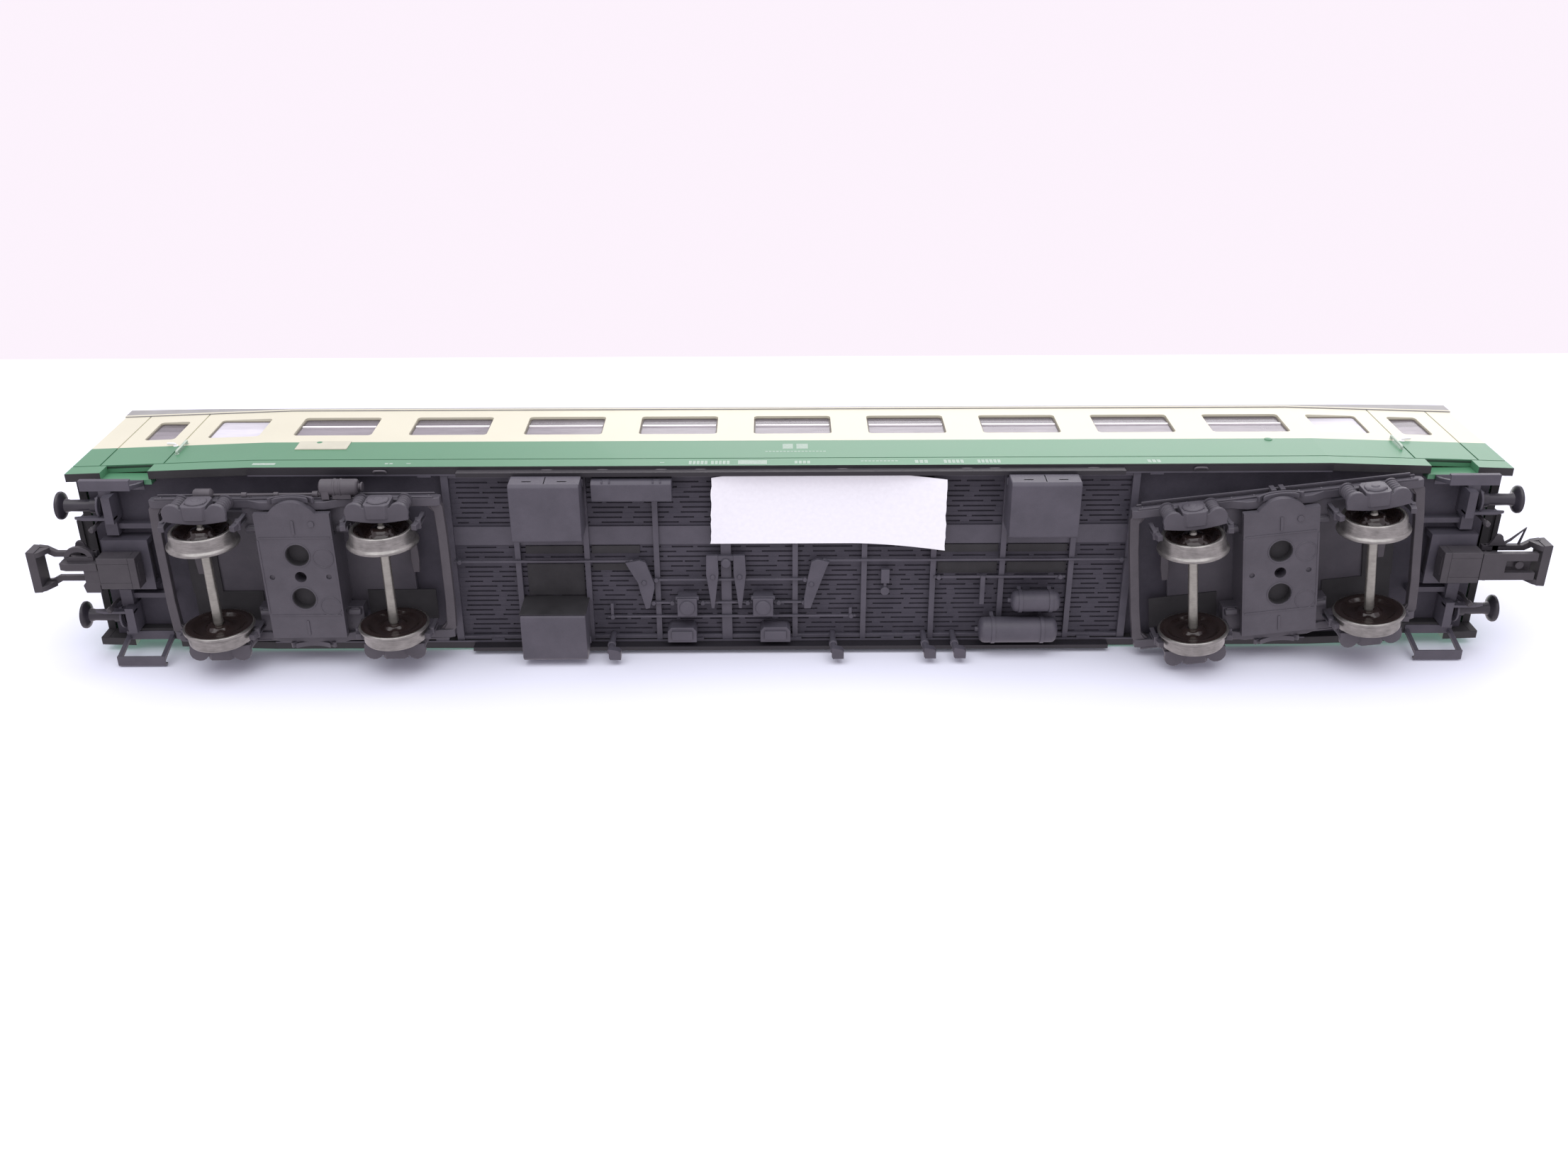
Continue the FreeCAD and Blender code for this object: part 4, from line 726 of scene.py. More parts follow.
def make_generator(place):
    """The axle generator: banded housing, mounting foot, cardan shaft with joints, and gear head."""
    def housing(bm):
        shape = [(4.4, 0), (4.4, 1.1), (4.6, 1.32), (6.6, 1.32), (6.65, 1.4), (6.95, 1.4), (7.0, 1.32),
                 (7.6, 1.32), (7.65, 1.4), (7.9, 1.4), (7.95, 1.32), (10.3, 1.32), (10.55, 1.1), (10.6, 0.6),
                 (10.95, 0.55), (11.0, 0.8), (11.25, 0.8), (11.3, 0)]
        add_lathe(bm, shape, "x", (0, -14.55, 9.6), 36)
        add_block(bm, (6.4, 9.4), (-14.3, -12.8), (8.7, 10.3))
        add_block(bm, (4.8, 6.0), (-14.2, -12.9), (8.3, 9.7))

    def shaft(bm):
        shape = [(-12.9, 0), (-12.9, 0.24), (-8.4, 0.24), (-8.3, 0.42), (-7.5, 0.42), (-7.4, 0.24),
                 (-3.2, 0.24), (-3.1, 0.42), (-2.4, 0.42), (-2.3, 0.24), (3.0, 0.24), (3.1, 0.5), (4.0, 0.55),
                 (4.1, 0.35), (4.6, 0.35), (4.6, 0)]
        add_lathe(bm, shape, "x", (0, -13.4, 9.5), 20)
        gear = [(-15.9, 0), (-15.9, 0.7), (-15.6, 0.9), (-13.2, 0.9), (-12.9, 0.6), (-12.8, 0)]
        add_lathe(bm, gear, "x", (0, -13.6, 9.5), 24)

    slot = "bogie_plastic"
    piece("generator_housing", housing, slot, "bogie_minus", place, 0.06, ["axle_generator"],
          paint=GENERATOR_GREY)
    piece("generator_cardan", shaft, slot, "bogie_minus", place, paint=GENERATOR_GREY)


# ---------------------------------------------------------------- underframe equipment

DECK = 13.0


def make_boxes():
    """Battery and equipment boxes with bevelled lids, hinges, latches and door lines."""
    for node in ("battery_box_minus", "battery_box_plus", "equipment_box_far"):
        low, high = box_mm(node)
        hand = -1 if high.y < 0 else 1
        outer, inner = (low.y, high.y) if hand < 0 else (high.y, low.y)
        inner += hand * 0.15
        neck = hand * 15.15
        x0, x1 = low.x + 0.2, high.x - 0.2

        def case(bm):
            shape = [(inner, high.z), (inner, low.z + 0.4), (inner + hand * 0.4, low.z),
                     (outer - hand * 0.5, low.z), (outer, low.z + 0.4), (outer, 10.6),
                     (outer - hand * 0.2, 10.8), (neck, 10.8), (neck, high.z)]
            add_prism(bm, shape, "x", x0, x1)
            add_block(bm, (x0 - 0.15, x1 + 0.15), sorted((neck - hand * 0.05, neck - hand * 1.4)), (11.2, 11.6))

        def trim(bm):
            middle = (x0 + x1) / 2
            face = sorted((outer - hand * 0.45, outer))
            add_block(bm, (middle - 0.12, middle + 0.12), face, (low.z + 0.6, 10.3))
            for share in (0.25, 0.75):
                x = x0 + (x1 - x0) * share
                add_block(bm, (x - 0.8, x + 0.8), face, (low.z + 1.4, low.z + 1.8))
                pin = [(-0.6, 0), (-0.6, 0.22), (0.6, 0.22), (0.6, 0)]
                add_lathe(bm, pin, "x", (x, outer - hand * 0.22, 10.2), 12)

        piece(f"{node}_case", case, "underframe_plastic", bevel=0.14, nodes=[node])
        piece(f"{node}_trim", trim, "underframe_plastic", bevel=0.05)

    low, high = box_mm("fuse_box")

    def fuses(bm):
        shape = [(high.y + 0.6, high.z), (high.y + 0.6, low.z + 0.3), (high.y + 0.3, low.z),
                 (low.y + 0.5, low.z), (low.y, low.z + 0.5), (low.y, high.z)]
        add_prism(bm, shape, "x", low.x, high.x)
        front = low.y - 0.05
        for x in (low.x + 2.4, high.x - 2.4):
            for step in (-0.7, 0.5):
                add_block(bm, (x + step, x + step + 0.25), (front, low.y + 1.1), (low.z + 0.1, low.z + 1.2))
            add_block(bm, (x - 0.7, x + 0.75), (front, low.y + 0.3), (low.z + 0.9, low.z + 1.2))

    piece("fuse_box_case", fuses, "underframe_plastic", bevel=0.1, nodes=["fuse_box"])


def make_tanks():
    """Domed air tanks with straps, saddles and pipe stubs."""
    def tanks(bm):
        for x0, x1, y, z, radius in ((36.9, 45.1, 7.2, 11.0, 1.8), (31.6, 44.9, 12.4, 10.6, 2.2)):
            dome = [(0, 0), (0.05, radius * 0.5), (0.3, radius * 0.82), (0.7, radius * 0.97), (1.1, radius)]
            profile = [(x0 + along, r) for along, r in dome] + [(x1 - along, r) for along, r in reversed(dome)]
            add_lathe(bm, profile, "x", (0, y, z), 44)
            for share in (0.18, 0.8):
                x = x0 + (x1 - x0) * share
                strap = [(-0.3, radius), (-0.3, radius + 0.14), (0.3, radius + 0.14), (0.3, radius)]
                add_lathe(bm, strap, "x", (x, y, z), 44, closed=True)
                saddle = [(y - radius, DECK), (y + radius, DECK), (y + radius * 0.7, z), (y - radius * 0.7, z)]
                add_prism(bm, saddle, "x", x - 0.3, x + 0.3)
            add_lathe(bm, [(-0.5, 0), (-0.5, 0.4), (0.3, 0.4), (0.3, 0)], "x", (x0, y, z + 0.3), 14)

    piece("domed_air_tanks", tanks, "underframe_plastic", nodes=["air_tanks"])


def make_brake_gear():
    """Pull rods, shaped levers with bosses, brake cylinders and drain valves."""
    low = 12.3

    def rods(bm):
        runs = ((-56, -25.8, 0.3), (4.8, 56, 0.3), (24, 46, 3.5), (-31, 11, 10.7), (-23.4, 3.2, 3.8),
                (-24, -19.2, 8.1), (-15.7, -6.5, 8.1), (-2.9, 3, 8.1))
        for x0, x1, y in runs:
            add_block(bm, (x0, x1), (y - 0.19, y + 0.19), (12.6, DECK))
            for x in (x0 + 0.8, x1 - 0.8):
                add_lathe(bm, [(-0.15, 0), (-0.15, 0.4), (0.4, 0.4), (0.4, 0)], "z", (12.5, x, y), 16)
        add_block(bm, (-30.5, -30.0), (8.2, 10.9), (12.6, DECK))
        add_block(bm, (9.8, 10.3), (9.2, 10.9), (12.6, DECK))
        add_block(bm, (31.8, 32.6), (3.2, 8.5), (low, DECK))

    def levers(bm):
        shapes = (
            [(-27.6, 0.35), (-25.2, -0.1), (-24.2, 0.3), (-22.9, 4.2), (-22.9, 5.2), (-23.8, 8.8), (-24.5, 9.0),
             (-25.4, 5.4), (-25.6, 4.2)],
            [(3.4, 0.3), (4.4, -0.1), (6.4, 0.35), (6.0, 1.2), (4.6, 5.2), (3.3, 9.0), (2.2, 9.0), (2.2, 7.0),
             (2.8, 3.4)],
            [(-14.1, -0.9), (-12.2, -0.9), (-12.1, 2.5), (-12.5, 5.6), (-12.9, 8.9), (-13.4, 8.9), (-13.8, 5.6),
             (-14.2, 2.5)],
            [(-9.6, -0.9), (-7.7, -0.9), (-7.5, 2.5), (-7.9, 5.6), (-8.3, 8.9), (-8.8, 8.9), (-9.2, 5.6),
             (-9.6, 2.5)],
        )
        for outline in shapes:
            add_prism(bm, outline, "z", low - 0.25, DECK - 0.2)
        add_block(bm, (-14.0, -7.7), (-0.75, 0.1), (low - 0.1, DECK))
        bosses = ((-10.85, 0.5, 0.85), (-24.6, 4.0, 0.45), (-13.1, 3.0, 0.45), (-8.6, 3.0, 0.45),
                  (3.4, 4.4, 0.45))
        for x, y, size in bosses:
            boss = [(-0.55, 0), (-0.5, size * 0.8), (-0.3, size), (0.5, size), (0.5, 0)]
            add_lathe(bm, boss, "z", (low, x, y), 24)
        add_block(bm, (15.1, 16.5), (1.9, 4.4), (low - 0.1, DECK))
        add_lathe(bm, [(-0.1, 0), (-0.1, 0.75), (0.6, 0.75), (0.6, 0)], "z", (low, 15.8, 5.9), 24)
        add_block(bm, (15.55, 16.05), (4.2, 6.0), (low + 0.2, DECK))

    def cylinders(bm):
        z = 10.4
        for x0, x1 in ((-19.1, -15.8), (-6.4, -3.0)):
            add_block(bm, (x0, x1), (6.5, 9.8), (z + 0.4, 13.9))
            cap = [(-0.1, 0), (0.0, 1.0), (0.2, 1.3), (0.6, 1.35), (0.6, 0)]
            add_lathe(bm, cap, "z", (z, (x0 + x1) / 2, 8.15), 24)
            add_block(bm, (x0 - 0.3, x1 + 0.3), (6.35, 7.0), (z + 0.9, z + 1.6))
        for x0, x1 in ((-20.9, -16.0), (-5.2, -0.1)):
            outline = [(x0 + 0.6, 12.0), (x1 - 0.6, 12.0), (x1, 12.7), (x1, 14.8), (x0, 14.8), (x0, 12.7)]
            add_prism(bm, outline, "z", 10.9, 13.9)
            add_block(bm, (x0 + 0.7, x1 - 0.7), (12.6, 14.2), (10.55, 11.0))

    def valves(bm):
        for x in (-29.6, 7.8, 23.3, 28.3):
            stem = [(7.2, 0), (7.2, 0.55), (9.4, 0.5), (9.5, 0.7), (10.1, 0.7), (10.2, 0.5), (13.8, 0.5),
                    (13.9, 0)]
            add_lathe(bm, stem, "z", (0, x - 0.7, 14.5), 20)
            block = [(x - 1.0, 13.95), (x - 0.6, 13.95), (x + 0.6, 14.2), (x + 1.0, 14.6), (x + 1.0, 15.9),
                     (x - 0.8, 15.9), (x - 1.0, 15.6)]
            add_prism(bm, block, "z", 6.9, 8.3)
            add_block(bm, (x - 0.5, x + 0.5), (15.2, 15.95), (7.2, 9.0))

    slot = "underframe_plastic"
    piece("brake_pull_rods", rods, slot, bevel=0.06, nodes=["brake_rigging"])
    piece("brake_levers", levers, slot, bevel=0.06)
    piece("brake_cylinders", cylinders, slot, bevel=0.1, nodes=["brake_cylinders_and_valves"])
    piece("drain_valves", valves, slot)


def make_floor_details():
    """Part-filled floor grooves, dark patches of painted shadow, edge rims and retaining clips."""
    def fillers(bm):
        for row in range(-16, 17):
            y = row * 0.9
            x = -56.0
            step = 0
            while x < 55.5:
                step += 1
                length = 1.5 + 1.6 * noise.noise(Vector((row * 1.7, step * 2.3, 0.4)))
                gap = 4.5 + 4.0 * noise.noise(Vector((row * 2.9, step * 1.3, 7.4)))
                end = min(55.9, x + length)
                add_block(bm, (x, end), (y - 0.16, y + 0.16), (13.93, 14.25))
                x = end + max(0.25, gap)

    def slots(bm):
        # Painted shadow: a black sheet on the far equipment box's inner face, and black bands on the floor beside
        # the pull rods and beside a box.
        low, high = box_mm("equipment_box_far")
        add_block(bm, (low.x + 0.1, high.x - 0.1), (low.y - 0.05, low.y + 0.05), (low.z + 0.15, 13.9))
        for x0, x1, deep in ((24.6, 34.6, 3.2), (36.2, 46.2, 3.2), (-44.2, -34.7, 7.0), (-33.2, -25.2, 2.4)):
            for y0, y1 in ((-2.1, -0.7), (1.2, deep)):
                add_block(bm, (x0, x1), (y0, y1), (13.7, 13.92))

    def rims(bm):
        add_block(bm, (-56.6, 56.6), (14.5, 15.2), (13.2, 13.92))

    def clips(bm):
        for x in (-39.5, -30.5, -21.0, -14.6, 8.3, 28.5, 33.0, 49.0, 66.5, -66.5):
            path = [(x - 1.0, -15.75, 12.75), (x - 1.0, -15.95, 12.4), (x - 0.7, -16.2, 12.3),
                    (x + 0.7, -16.2, 12.3), (x + 1.0, -15.95, 12.4), (x + 1.0, -15.75, 12.75)]
            add_tube(bm, smooth_path(path, 4), 0.17, 8)

    slot = "underframe_plastic"
    piece("groove_fillers", fillers, slot)
    # This piece holds black sheets of painted shadow on the floor and on the far box.
    piece("floor_shadow_patches", slots, slot, paint=BLACK)
    piece("floor_rims", rims, slot, bevel=0.06, copies=BOTH_HANDS)
    piece("retaining_clips", clips, slot, paint=GENERATOR_GREY)


# ---------------------------------------------------------------- ends

BEAM = 112.6
BUFFER_REACH = 10.06
BUFFER_HEIGHT = 13.1


def make_buffers():
    """Mushroom buffers with stepped sleeves, flared shanks and gently domed heads, on bolted flanges."""
    face = box_mm("buffers")[1].x
    y, z = BUFFER_REACH, BUFFER_HEIGHT

    def buffers(bm):
        profile = [(BEAM - 0.2, 0), (BEAM - 0.2, 1.5), (BEAM + 0.3, 1.5), (BEAM + 0.4, 1.32), (BEAM + 1.7, 1.28),
                   (BEAM + 1.8, 1.02), (face - 2.0, 0.98), (face - 1.25, 1.15), (face - 0.95, 1.7),
                   (face - 0.75, 2.2), (face - 0.5, 2.33), (face - 0.22, 2.3), (face - 0.08, 1.6),
                   (face, 0.7), (face, 0)]
        add_lathe(bm, profile, "x", (0, y, z), 44)

    def flanges(bm):
        plate = arc(y, z, 2.25, 30, 150, 6) + arc(y, z, 2.25, 210, 330, 6)
        add_prism(bm, plate, "x", BEAM, BEAM + 0.35)
        for dy in (-1.6, 1.6):
            for dz in (-1.0, 1.0):
                bolt = [(0, 0), (0.3, 0.28), (0.55, 0.24), (0.6, 0)]
                add_lathe(bm, bolt, "x", (BEAM, y + dy, z + dz), 8)
        web = [(-2.4, 10.7), (2.6, 10.7), (4.2, 11.3), (4.2, 11.6), (0, 12.4), (-2.4, 12.4)]
        add_prism(bm, [(BEAM + u, v) for u, v in web], "y", 8.3, 8.75)

    piece("turned_buffers", buffers, "buffer_plastic", nodes=["buffers"], smooth=45, copies=CORNERS)
    piece("buffer_flanges", flanges, "underframe_plastic", bevel=0.06, copies=CORNERS)


def make_hoses():
    """Curved brake hoses with couplings, hung from the headstocks."""
    def hoses(bm):
        bends = [(BEAM, 13.7), (113.1, 13.7), (113.5, 13.0), (113.5, 11.4), (113.4, 9.9), (113.4, 9.2)]
        for sign, hand in CORNERS:
            path = [(sign * x, hand * 7.3, z) for x, z in bends]
            add_tube(bm, smooth_path(path, 6), 0.3, 12)
            coupling = [(0, 0), (0, 0.35), (0.25, 0.5), (0.9, 0.5), (1.1, 0.32), (1.1, 0)]
            add_lathe(bm, coupling, "z", (8.9, sign * 113.4, hand * 7.3), 16)

    piece("curved_brake_hoses", hoses, "coupler_plastic", nodes=["brake_hoses"])


def make_steps():
    """An upper tread and a low board at each door, joined by two folded hangers."""
    def steps(bm):
        board = [(15.0, 7.2), (16.7, 7.2), (16.8, 7.28), (16.8, 8.1), (16.5, 8.1), (16.5, 7.5), (15.0, 7.5)]
        add_prism(bm, board, "x", 105.0, 113.0)
        add_block(bm, (105.0, 113.0), (13.0, 14.6), (12.6, 12.9))
        for x in (105.0, 112.3):
            strap = [(13.6, 12.9), (14.4, 12.9), (14.7, 11.2), (15.9, 7.4), (15.1, 7.4), (14.2, 10.8)]
            add_prism(bm, strap, "x", x, x + 0.7)

    piece("folded_steps", steps, "underframe_plastic", bevel=0.05, nodes=["door_steps"], copies=CORNERS)


def make_handrails():
    """Bent handrails on turned feet, with a grip handle on each door."""
    line = box_mm("handrails_and_handles")[1].y - 0.22

    def rails(bm):
        for sign, hand in CORNERS:
            x = sign * 101.8
            path = flip([(line - 0.55, 20.2), (line - 0.1, 20.05), (line, 20.5), (line, 22.5), (line, 24.6),
                         (line - 0.1, 25.0), (line - 0.55, 24.85)], hand)
            add_tube(bm, smooth_path([(x, y, z) for y, z in path], 5), 0.2, 12)
            for z in (20.2, 24.85):
                foot = [(0, 0), (0, 0.34), (0.16, 0.3), (0.22, 0)]
                add_lathe(bm, flip(foot, hand), "y", (hand * (line - 0.6), x, z), 14)

    def handles(bm):
        for sign, hand in CORNERS:
            x = sign * 104.0
            wall = hand * (line - 0.62)
            path = [(x - sign * 0.6, wall, 24.1), (x - sign * 0.55, wall + hand * 0.35, 24.1),
                    (x, wall + hand * 0.42, 24.15), (x + sign * 0.8, wall + hand * 0.4, 24.25)]
            add_tube(bm, smooth_path(path, 4), 0.17, 10)
            rose = [(0, 0), (0, 0.42), (0.12, 0.38), (0.14, 0)]
            add_lathe(bm, flip(rose, hand), "y", (wall, x - sign * 0.6, 24.1), 16)

    rail_paint = plain_paint("rail_green_grey", (0.34, 0.44, 0.36), (0.44, 0.54, 0.46), (0.35, 0.5), 2000)
    piece("bent_handrails", rails, "bright_trim", nodes=["handrails_and_handles"], paint=rail_paint)
    piece("door_handles", handles, "bright_trim")


# ---------------------------------------------------------------- body sides

SIDE = 16.7
TAPER_START, HALF_LENGTH, TAPER = 88.0, 117.6, 1.05
WALL_RUNS = [(-HALF_LENGTH, -TAPER_START), (-TAPER_START, TAPER_START), (TAPER_START, HALF_LENGTH)]


def wall(x):
    """Give the side wall's reach across the coach; it narrows toward both ends."""
    return SIDE - TAPER * max(0.0, abs(x) - TAPER_START) / (HALF_LENGTH - TAPER_START)


def add_strip(bm, hand, run, out, back, bottom, top):
    """Add a strip that follows one side wall, between two depths behind its face."""
    start, end = run
    corners = ((start, out), (end, out), (end, back), (start, back))
    add_prism(bm, [(x, hand * (wall(x) - depth)) for x, depth in corners], "z", bottom, top)


def rounded_outline(x, z, width, height, radius):
    """Give a rounded rectangle in the XZ plane."""
    points = []
    for dx, dz, start in ((1, -1, -90), (1, 1, 0), (-1, 1, 90), (-1, -1, 180)):
        points += arc(x + dx * (width / 2 - radius), z + dz * (height / 2 - radius), radius, start, start + 90, 5)
    return points


def make_body_details():
    """Panel line as a dark strip of painted shadow, window reveals, gutter, name board and blank printed panels.
    """
    def frames(bm):
        openings = [(number * 19.6 + 0.45, 13.3) for number in range(-4, 5)]
        openings += [(sign * x, width) for sign in HANDS for x, width in ((94.8, 8.8), (107.4, 5.2))]
        for x, width in openings:
            outer = rounded_outline(x, 31.6, width + 0.1, 8.7, 0.75)
            inner = rounded_outline(x, 31.6, width - 0.5, 8.1, 0.5)
            front, back = wall(x) - 0.38, wall(x) - 0.62
            rings = [[bm.verts.new((u, along, v)) for u, v in outline]
                     for outline, along in ((outer, back), (outer, front), (inner, front), (inner, back))]
            bridge(bm, rings + rings[:1])

    def seam(bm):
        for run in WALL_RUNS:
            add_strip(bm, 1, run, 0.19, 0.5, 15.93, 16.22)

    def gutter(bm):
        for run in WALL_RUNS:
            add_strip(bm, 1, run, -0.14, 0.3, 39.25, 39.45)

    def marks(bm):
        y = -(SIDE + 0.012)
        groups = [(-21.3, 1.0, 14.3, 0.3), (-16.6, 3.2, 14.2, 1.5), (-13.0, 3.2, 14.2, 1.5), (0.6, 2.7, 14.2, 1.2),
                  (11.4, 6.2, 14.6, 0.35), (20.2, 2.3, 14.3, 1.3), (24.9, 3.4, 14.3, 1.4),
                  (30.4, 3.9, 14.3, 1.4), (58.1, 2.3, 14.1, 1.2), (-4.2, 10.2, 19.0, 0.35),
                  (-66.0, 1.5, 14.3, 0.5), (-62.5, 1.0, 14.3, 0.3)]
        for x, width, z, height in groups:
            count = max(1, int(width / 0.6))
            step = width / count
            for number in range(count):
                x0 = x + number * step
                add_block(bm, (x0, x0 + step * 0.72), (y, y + 0.03), (z - height / 2, z + height / 2))
        for x0, x1, z0, z1 in ((-8.6, -3.9, 13.4, 15.1), (-1.3, 0.4, 20.2, 22.4), (1.0, 2.9, 20.2, 22.4),
                               (-87.5, -83.8, 13.9, 14.75)):
            add_block(bm, (x0, x1), (y, y + 0.03), (z0, z1))

    def board(bm):
        add_block(bm, (-82.4, -73.8), (-SIDE - 0.16, -SIDE + 0.05), (20.6, 24.2))

    def lower_edges(bm):
        runs = [(-HALF_LENGTH, -111.9), (-104.1, -TAPER_START), (-TAPER_START, TAPER_START),
                (TAPER_START, 104.1), (111.9, HALF_LENGTH)]
        for hand in HANDS:
            for run in runs:
                add_strip(bm, hand, run, 0.02, 1.3, 12.8, 12.91)
                add_strip(bm, hand, run, 1.22, 1.36, 12.82, 16.2)
        low, high = box_mm("door_sills")
        for sign in HANDS:
            end = spread(sign, 116.3, 117.58)
            add_block(bm, end, (-14.4, 14.4), (16.1, 16.27))
            for hand in HANDS:
                add_block(bm, end, spread(hand, 14.3, 14.48), (12.85, 16.2))
            # Painted shade: black covers under and inside the far door sills, which lie in shadow.
            sill = spread(sign, 103.95, 112.05)
            add_block(bm, sill, (high.y - 1.9, high.y + 0.03), (low.z - 0.08, low.z + 0.03))
            add_block(bm, sill, (high.y - 2.0, high.y - 1.88), (low.z, low.z + 1.6))

    def sockets(bm):
        for x in (-79.0, 80.5):
            rim = [(0, 0), (0, 0.7), (0.15, 0.6), (0.22, 0.3), (0.24, 0)]
            add_lathe(bm, rim, "y", (SIDE - 0.02, x, 23.6), 20)

    reveal = plain_paint("window_rubber", (0.110, 0.100, 0.085), (0.160, 0.145, 0.120), (0.45, 0.6))
    gutter_grey = plain_paint("gutter_grey", (0.17, 0.17, 0.17), (0.22, 0.22, 0.22))
    board_paint = plain_paint("board_cream", (0.46, 0.46, 0.37), (0.52, 0.52, 0.42))
    piece("window_frames", frames, "body_paint", paint=reveal, copies=BOTH_HANDS)
    # The panel seam strip is painted shadow at the step of the lower skirt.
    piece("panel_seam_shadow", seam, "body_paint", paint=SEAM_SHADOW, copies=BOTH_HANDS)
    piece("printed_panels", marks, "bright_trim", paint=PRINT_WHITE)
    piece("route_board", board, "bright_trim", bevel=0.06, paint=board_paint)
    # This piece also holds the painted shade under the far door sills.
    piece("dark_lower_edges_and_sill_shade", lower_edges, "underframe_plastic", paint=BLACK)
    piece("gutter_lines", gutter, "roof_paint", bevel=0.05, paint=gutter_grey, copies=BOTH_HANDS)
    piece("lamp_sockets", sockets, "body_paint", copies=BOTH_HANDS)


# ---------------------------------------------------------------- couplers

def make_coupler(end):
    """Pocket, head with its hook, and loop with its eye, one piece for each CAD part.

    The places are those of the +X end, mirrored for the other end.
    """
    place = Matrix.Diagonal((ENDS[end], 1, 1, 1))

    def pocket(bm):
        add_block(bm, (107.0, 108.2), (-2.75, 2.75), (8.0, 10.9))
        for y0, y1, z0, z1 in ((-2.75, -1.7, 8.0, 10.9), (1.7, 2.75, 8.0, 10.9), (-1.7, 1.7, 8.0, 8.6),
                               (-1.7, 1.7, 10.4, 10.9)):
            add_block(bm, (108.2, 113.3), (y0, y1), (z0, z1))
        pin = [(10.8, 0), (10.8, 1.3), (11.1, 1.0), (13.8, 1.0), (13.9, 0.85), (13.9, 0)]
        add_lathe(bm, pin, "z", (0, 108.6, 0), 32)
        add_block(bm, (106.95, 107.3), (-1.6, 1.6), (8.6, 10.4))

    def shank(bm):
        add_block(bm, (108.4, 113.8), (-1.65, 1.65), (8.65, 10.35))
        add_prism(bm, [(113.45, -1.9), (115.9, -1.6), (115.9, 2.0), (113.45, 2.3)], "z", 8.42, 10.75)
        add_block(bm, (114.4, 115.4), (-1.4, 1.4), (10.6, 11.9))
        add_lathe(bm, [(-2.65, 0), (-2.65, 0.3), (2.65, 0.3), (2.65, 0)], "y", (0, 114.9, 11.45), 20)

    def hook_minus(bm):
        shank(bm)
        blade = [(113.5, 8.2), (118.6, 8.2), (119.7, 8.6), (119.7, 11.5), (118.9, 11.5), (118.4, 10.4),
                 (118.0, 10.0), (113.5, 10.0)]
        add_prism(bm, blade, "y", -1.7, -0.45)
        add_prism(bm, [(113.6, 1.9), (116.1, 1.9), (116.4, 2.3), (116.1, 3.6), (113.6, 3.6)], "z", 8.4, 9.7)
        bow = arc(116.6, -2.4, 2.4, 0, 180, 10, -1.9) + arc(116.6, -2.4, 1.5, 180, 0, 10, -1.0)
        add_prism(bm, bow, "z", 9.2, 9.9)
        add_block(bm, (114.2, 118.6), (-2.6, -1.5), (9.2, 9.9))

    def hook_plus(bm):
        shank(bm)
        fork = [(113.5, -2.4), (122.6, -2.4), (122.6, -1.05), (117.5, -1.05), (117.5, 1.05), (122.6, 1.05),
                (122.6, 2.4), (113.5, 2.4)]
        add_prism(bm, fork, "z", 8.25, 9.3)
        table = [(117.2, -1.6), (122.4, -1.6), (122.7, -1.3), (122.7, 1.3), (122.4, 1.6), (117.2, 1.6)]
        add_prism(bm, table, "z", 10.25, 10.6)
        add_block(bm, (115.7, 117.6), (-0.7, 0.7), (9.2, 10.5))
        tongue = [(117.4, -0.5), (119.6, -0.5), (120.3, -0.75), (120.9, 0.0), (120.3, 0.75), (119.6, 0.5),
                  (117.4, 0.5)]
        add_prism(bm, tongue, "z", 9.5, 10.3)
        add_lathe(bm, [(8.9, 0), (8.9, 0.72), (10.4, 0.78), (10.5, 0.6), (10.5, 0)], "z", (0, 120.1, 0), 24)

    def loop(bm):
        low, high = 11.0, 11.9
        front = [(123.3, -3.0), (123.4, -3.6), (124.7, -3.7), (124.8, -3.6), (124.8, 3.6), (124.7, 3.7),
                 (123.4, 3.6), (123.3, 3.0)]
        add_prism(bm, front, "z", 8.6, high)
        for hand in HANDS:
            side = [(114.3, 1.75), (121.4, 1.75), (122.6, 2.4), (123.8, 2.6), (123.8, 3.7), (122.4, 3.5),
                    (120.9, 2.65), (114.3, 2.65)]
            add_prism(bm, [(u, hand * v) for u, v in side], "z", low, high)
            cheek = [(121.8, low), (123.4, low), (123.4, 8.6), (122.9, 8.9), (122.2, 10.2)]
            add_prism(bm, cheek, "y", *spread(hand, 2.6, 3.5))
        add_block(bm, (116.0, 117.0), (-2.6, 2.6), (low, high))
        plate = arc(116.8, -3.9, 0.75, 180, 360, 8) + [(118.3, -2.5), (115.2, -2.5)]
        add_prism(bm, plate, "z", low, low + 0.5)
        if end == "plus":
            wire = [(116.3, -1.8, 11.5), (119.0, -3.4, 11.6), (121.2, -5.5, 11.65), (120.4, -2.2, 11.6)]
            add_tube(bm, wire, 0.24, 8)

    name = f"coupler_{end}"
    slot = "coupler_plastic"
    hook = {"minus": hook_minus, "plus": hook_plus}[end]
    piece(f"{name}_sleeve", pocket, slot, f"{name}_arm", place, 0.08, [f"{name}_pocket"])
    piece(f"{name}_hook", hook, slot, f"{name}_arm", place, 0.07, [f"{name}_head"])
    piece(f"{name}_stirrup", loop, slot, f"{name}_bail", place, 0.08, [f"{name}_loop"])


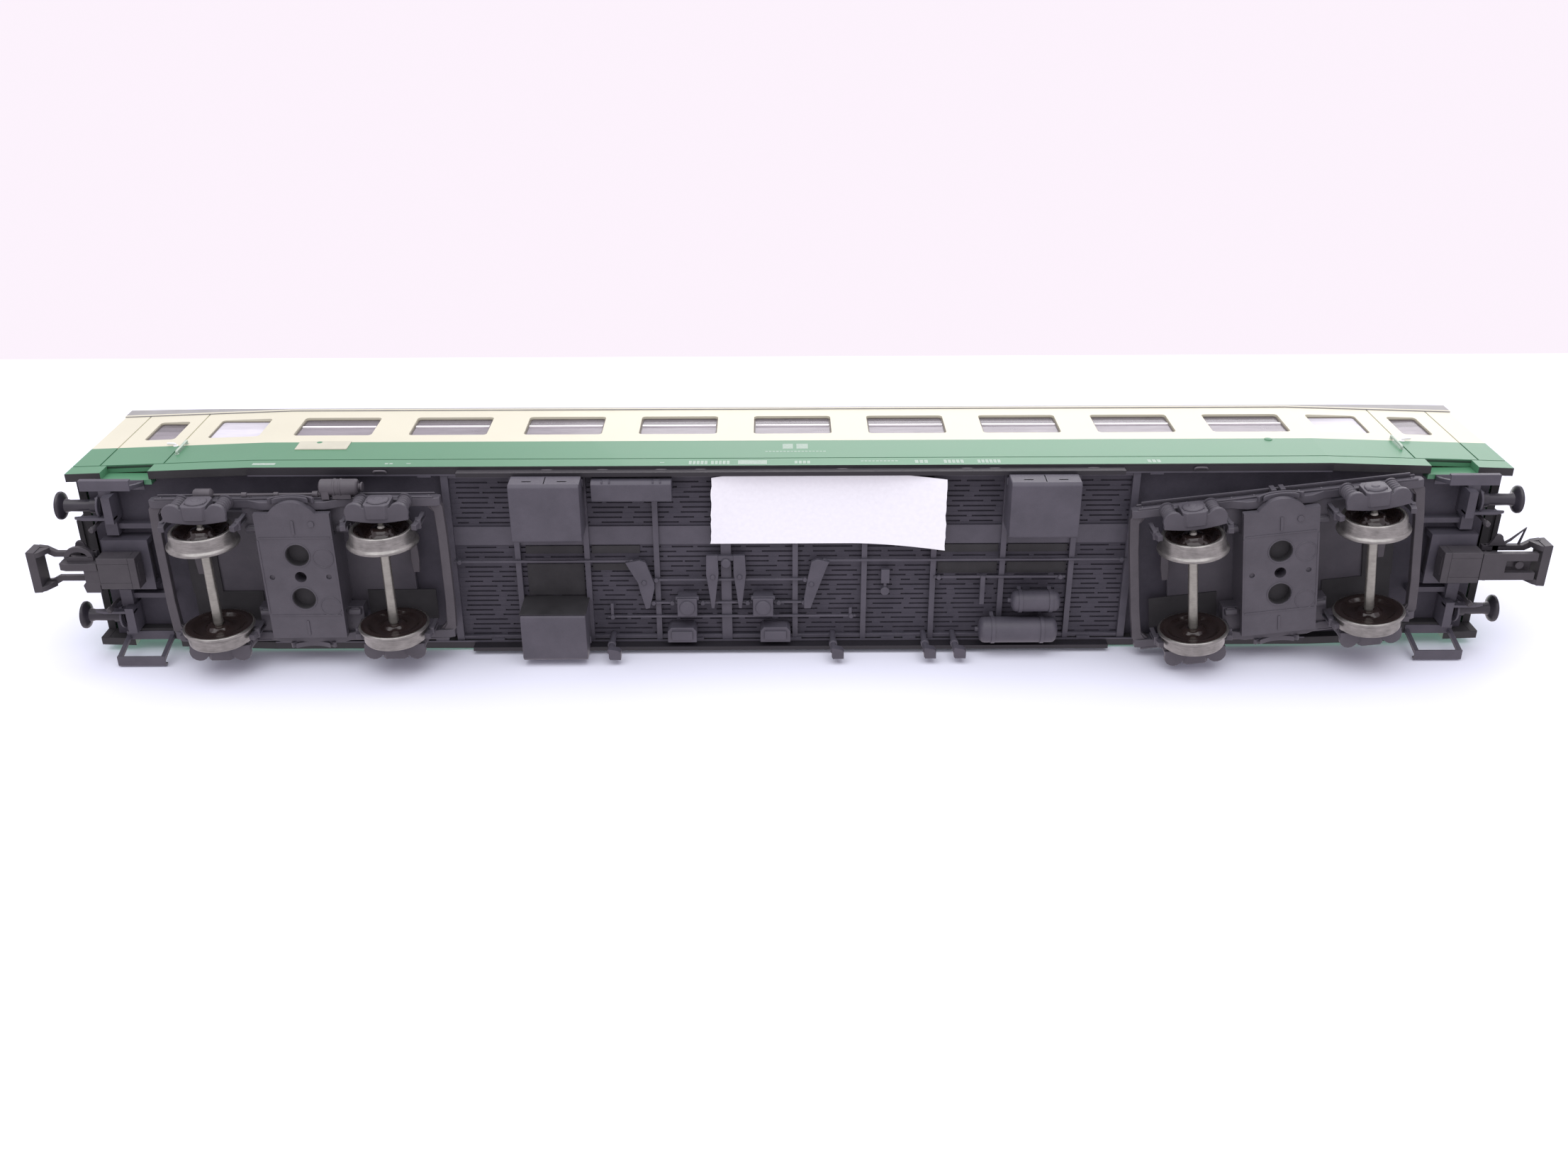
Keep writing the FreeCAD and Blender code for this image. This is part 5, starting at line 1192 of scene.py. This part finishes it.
# ---------------------------------------------------------------- paper tag

def make_tag():
    """A hand-cut paper tag, blank, bowed over the ribs, with slightly ragged ends."""
    low, high = box_mm("paper_tag")
    columns, rows = 48, 16

    def tag(bm):
        grid = []
        for row in range(rows + 1):
            v = row / rows
            line = []
            for column in range(columns + 1):
                u = column / columns
                x = low.x + (high.x - low.x) * u
                y = low.y - 0.6 + (high.y - low.y + 0.6) * v
                edge = 0.18 * noise.noise(Vector((v * 9, u * 3, 1.5)))
                ragged = edge * (1 if u in (0, 1) else 0)
                curl = max(0.0, (u - 0.6) / 0.4) ** 1.7
                corner = max(0.0, (0.25 - u) / 0.25) ** 2 * (1 - v)
                z = low.z - 0.2 - 1.9 * curl - 1.2 * corner
                skew = 0.55 * curl + 0.35 * corner
                line.append(Vector((x + ragged - 0.4 * v * (1 - u), y + skew, z)))
            grid.append(line)
        borders = []
        for offset in (0.0, 0.1):
            sheet = [[bm.verts.new(point + Vector((0, 0, offset))) for point in line] for line in grid]
            for row in range(rows):
                for column in range(columns):
                    bm.faces.new((sheet[row][column], sheet[row][column + 1], sheet[row + 1][column + 1],
                                  sheet[row + 1][column]))
            borders.append([sheet[0][c] for c in range(columns)] + [sheet[r][columns] for r in range(rows)]
                           + [sheet[rows][c] for c in range(columns, 0, -1)]
                           + [sheet[r][0] for r in range(rows, 0, -1)])
        bridge(bm, borders)

    piece("curled_paper_tag", tag, "paper", nodes=["paper_tag"], smooth=60)


# ---------------------------------------------------------------- making it all

make_camera()
make_stage()
make_lights()
paint_cad_nodes()
for end_name in ENDS:
    matrix = bogie_matrix(end_name)
    make_side_frames(end_name, matrix)
    make_brakes(end_name, matrix)
    make_bogie_frame_details(end_name, matrix)
    for spot in ("inner", "outer"):
        make_wheelset(f"wheelset_{end_name}_{spot}")
    make_coupler(end_name)
make_generator(bogie_matrix("minus"))
make_boxes()
make_tanks()
make_brake_gear()
make_floor_details()
make_buffers()
make_hoses()
make_steps()
make_handrails()
make_body_details()
make_tag()
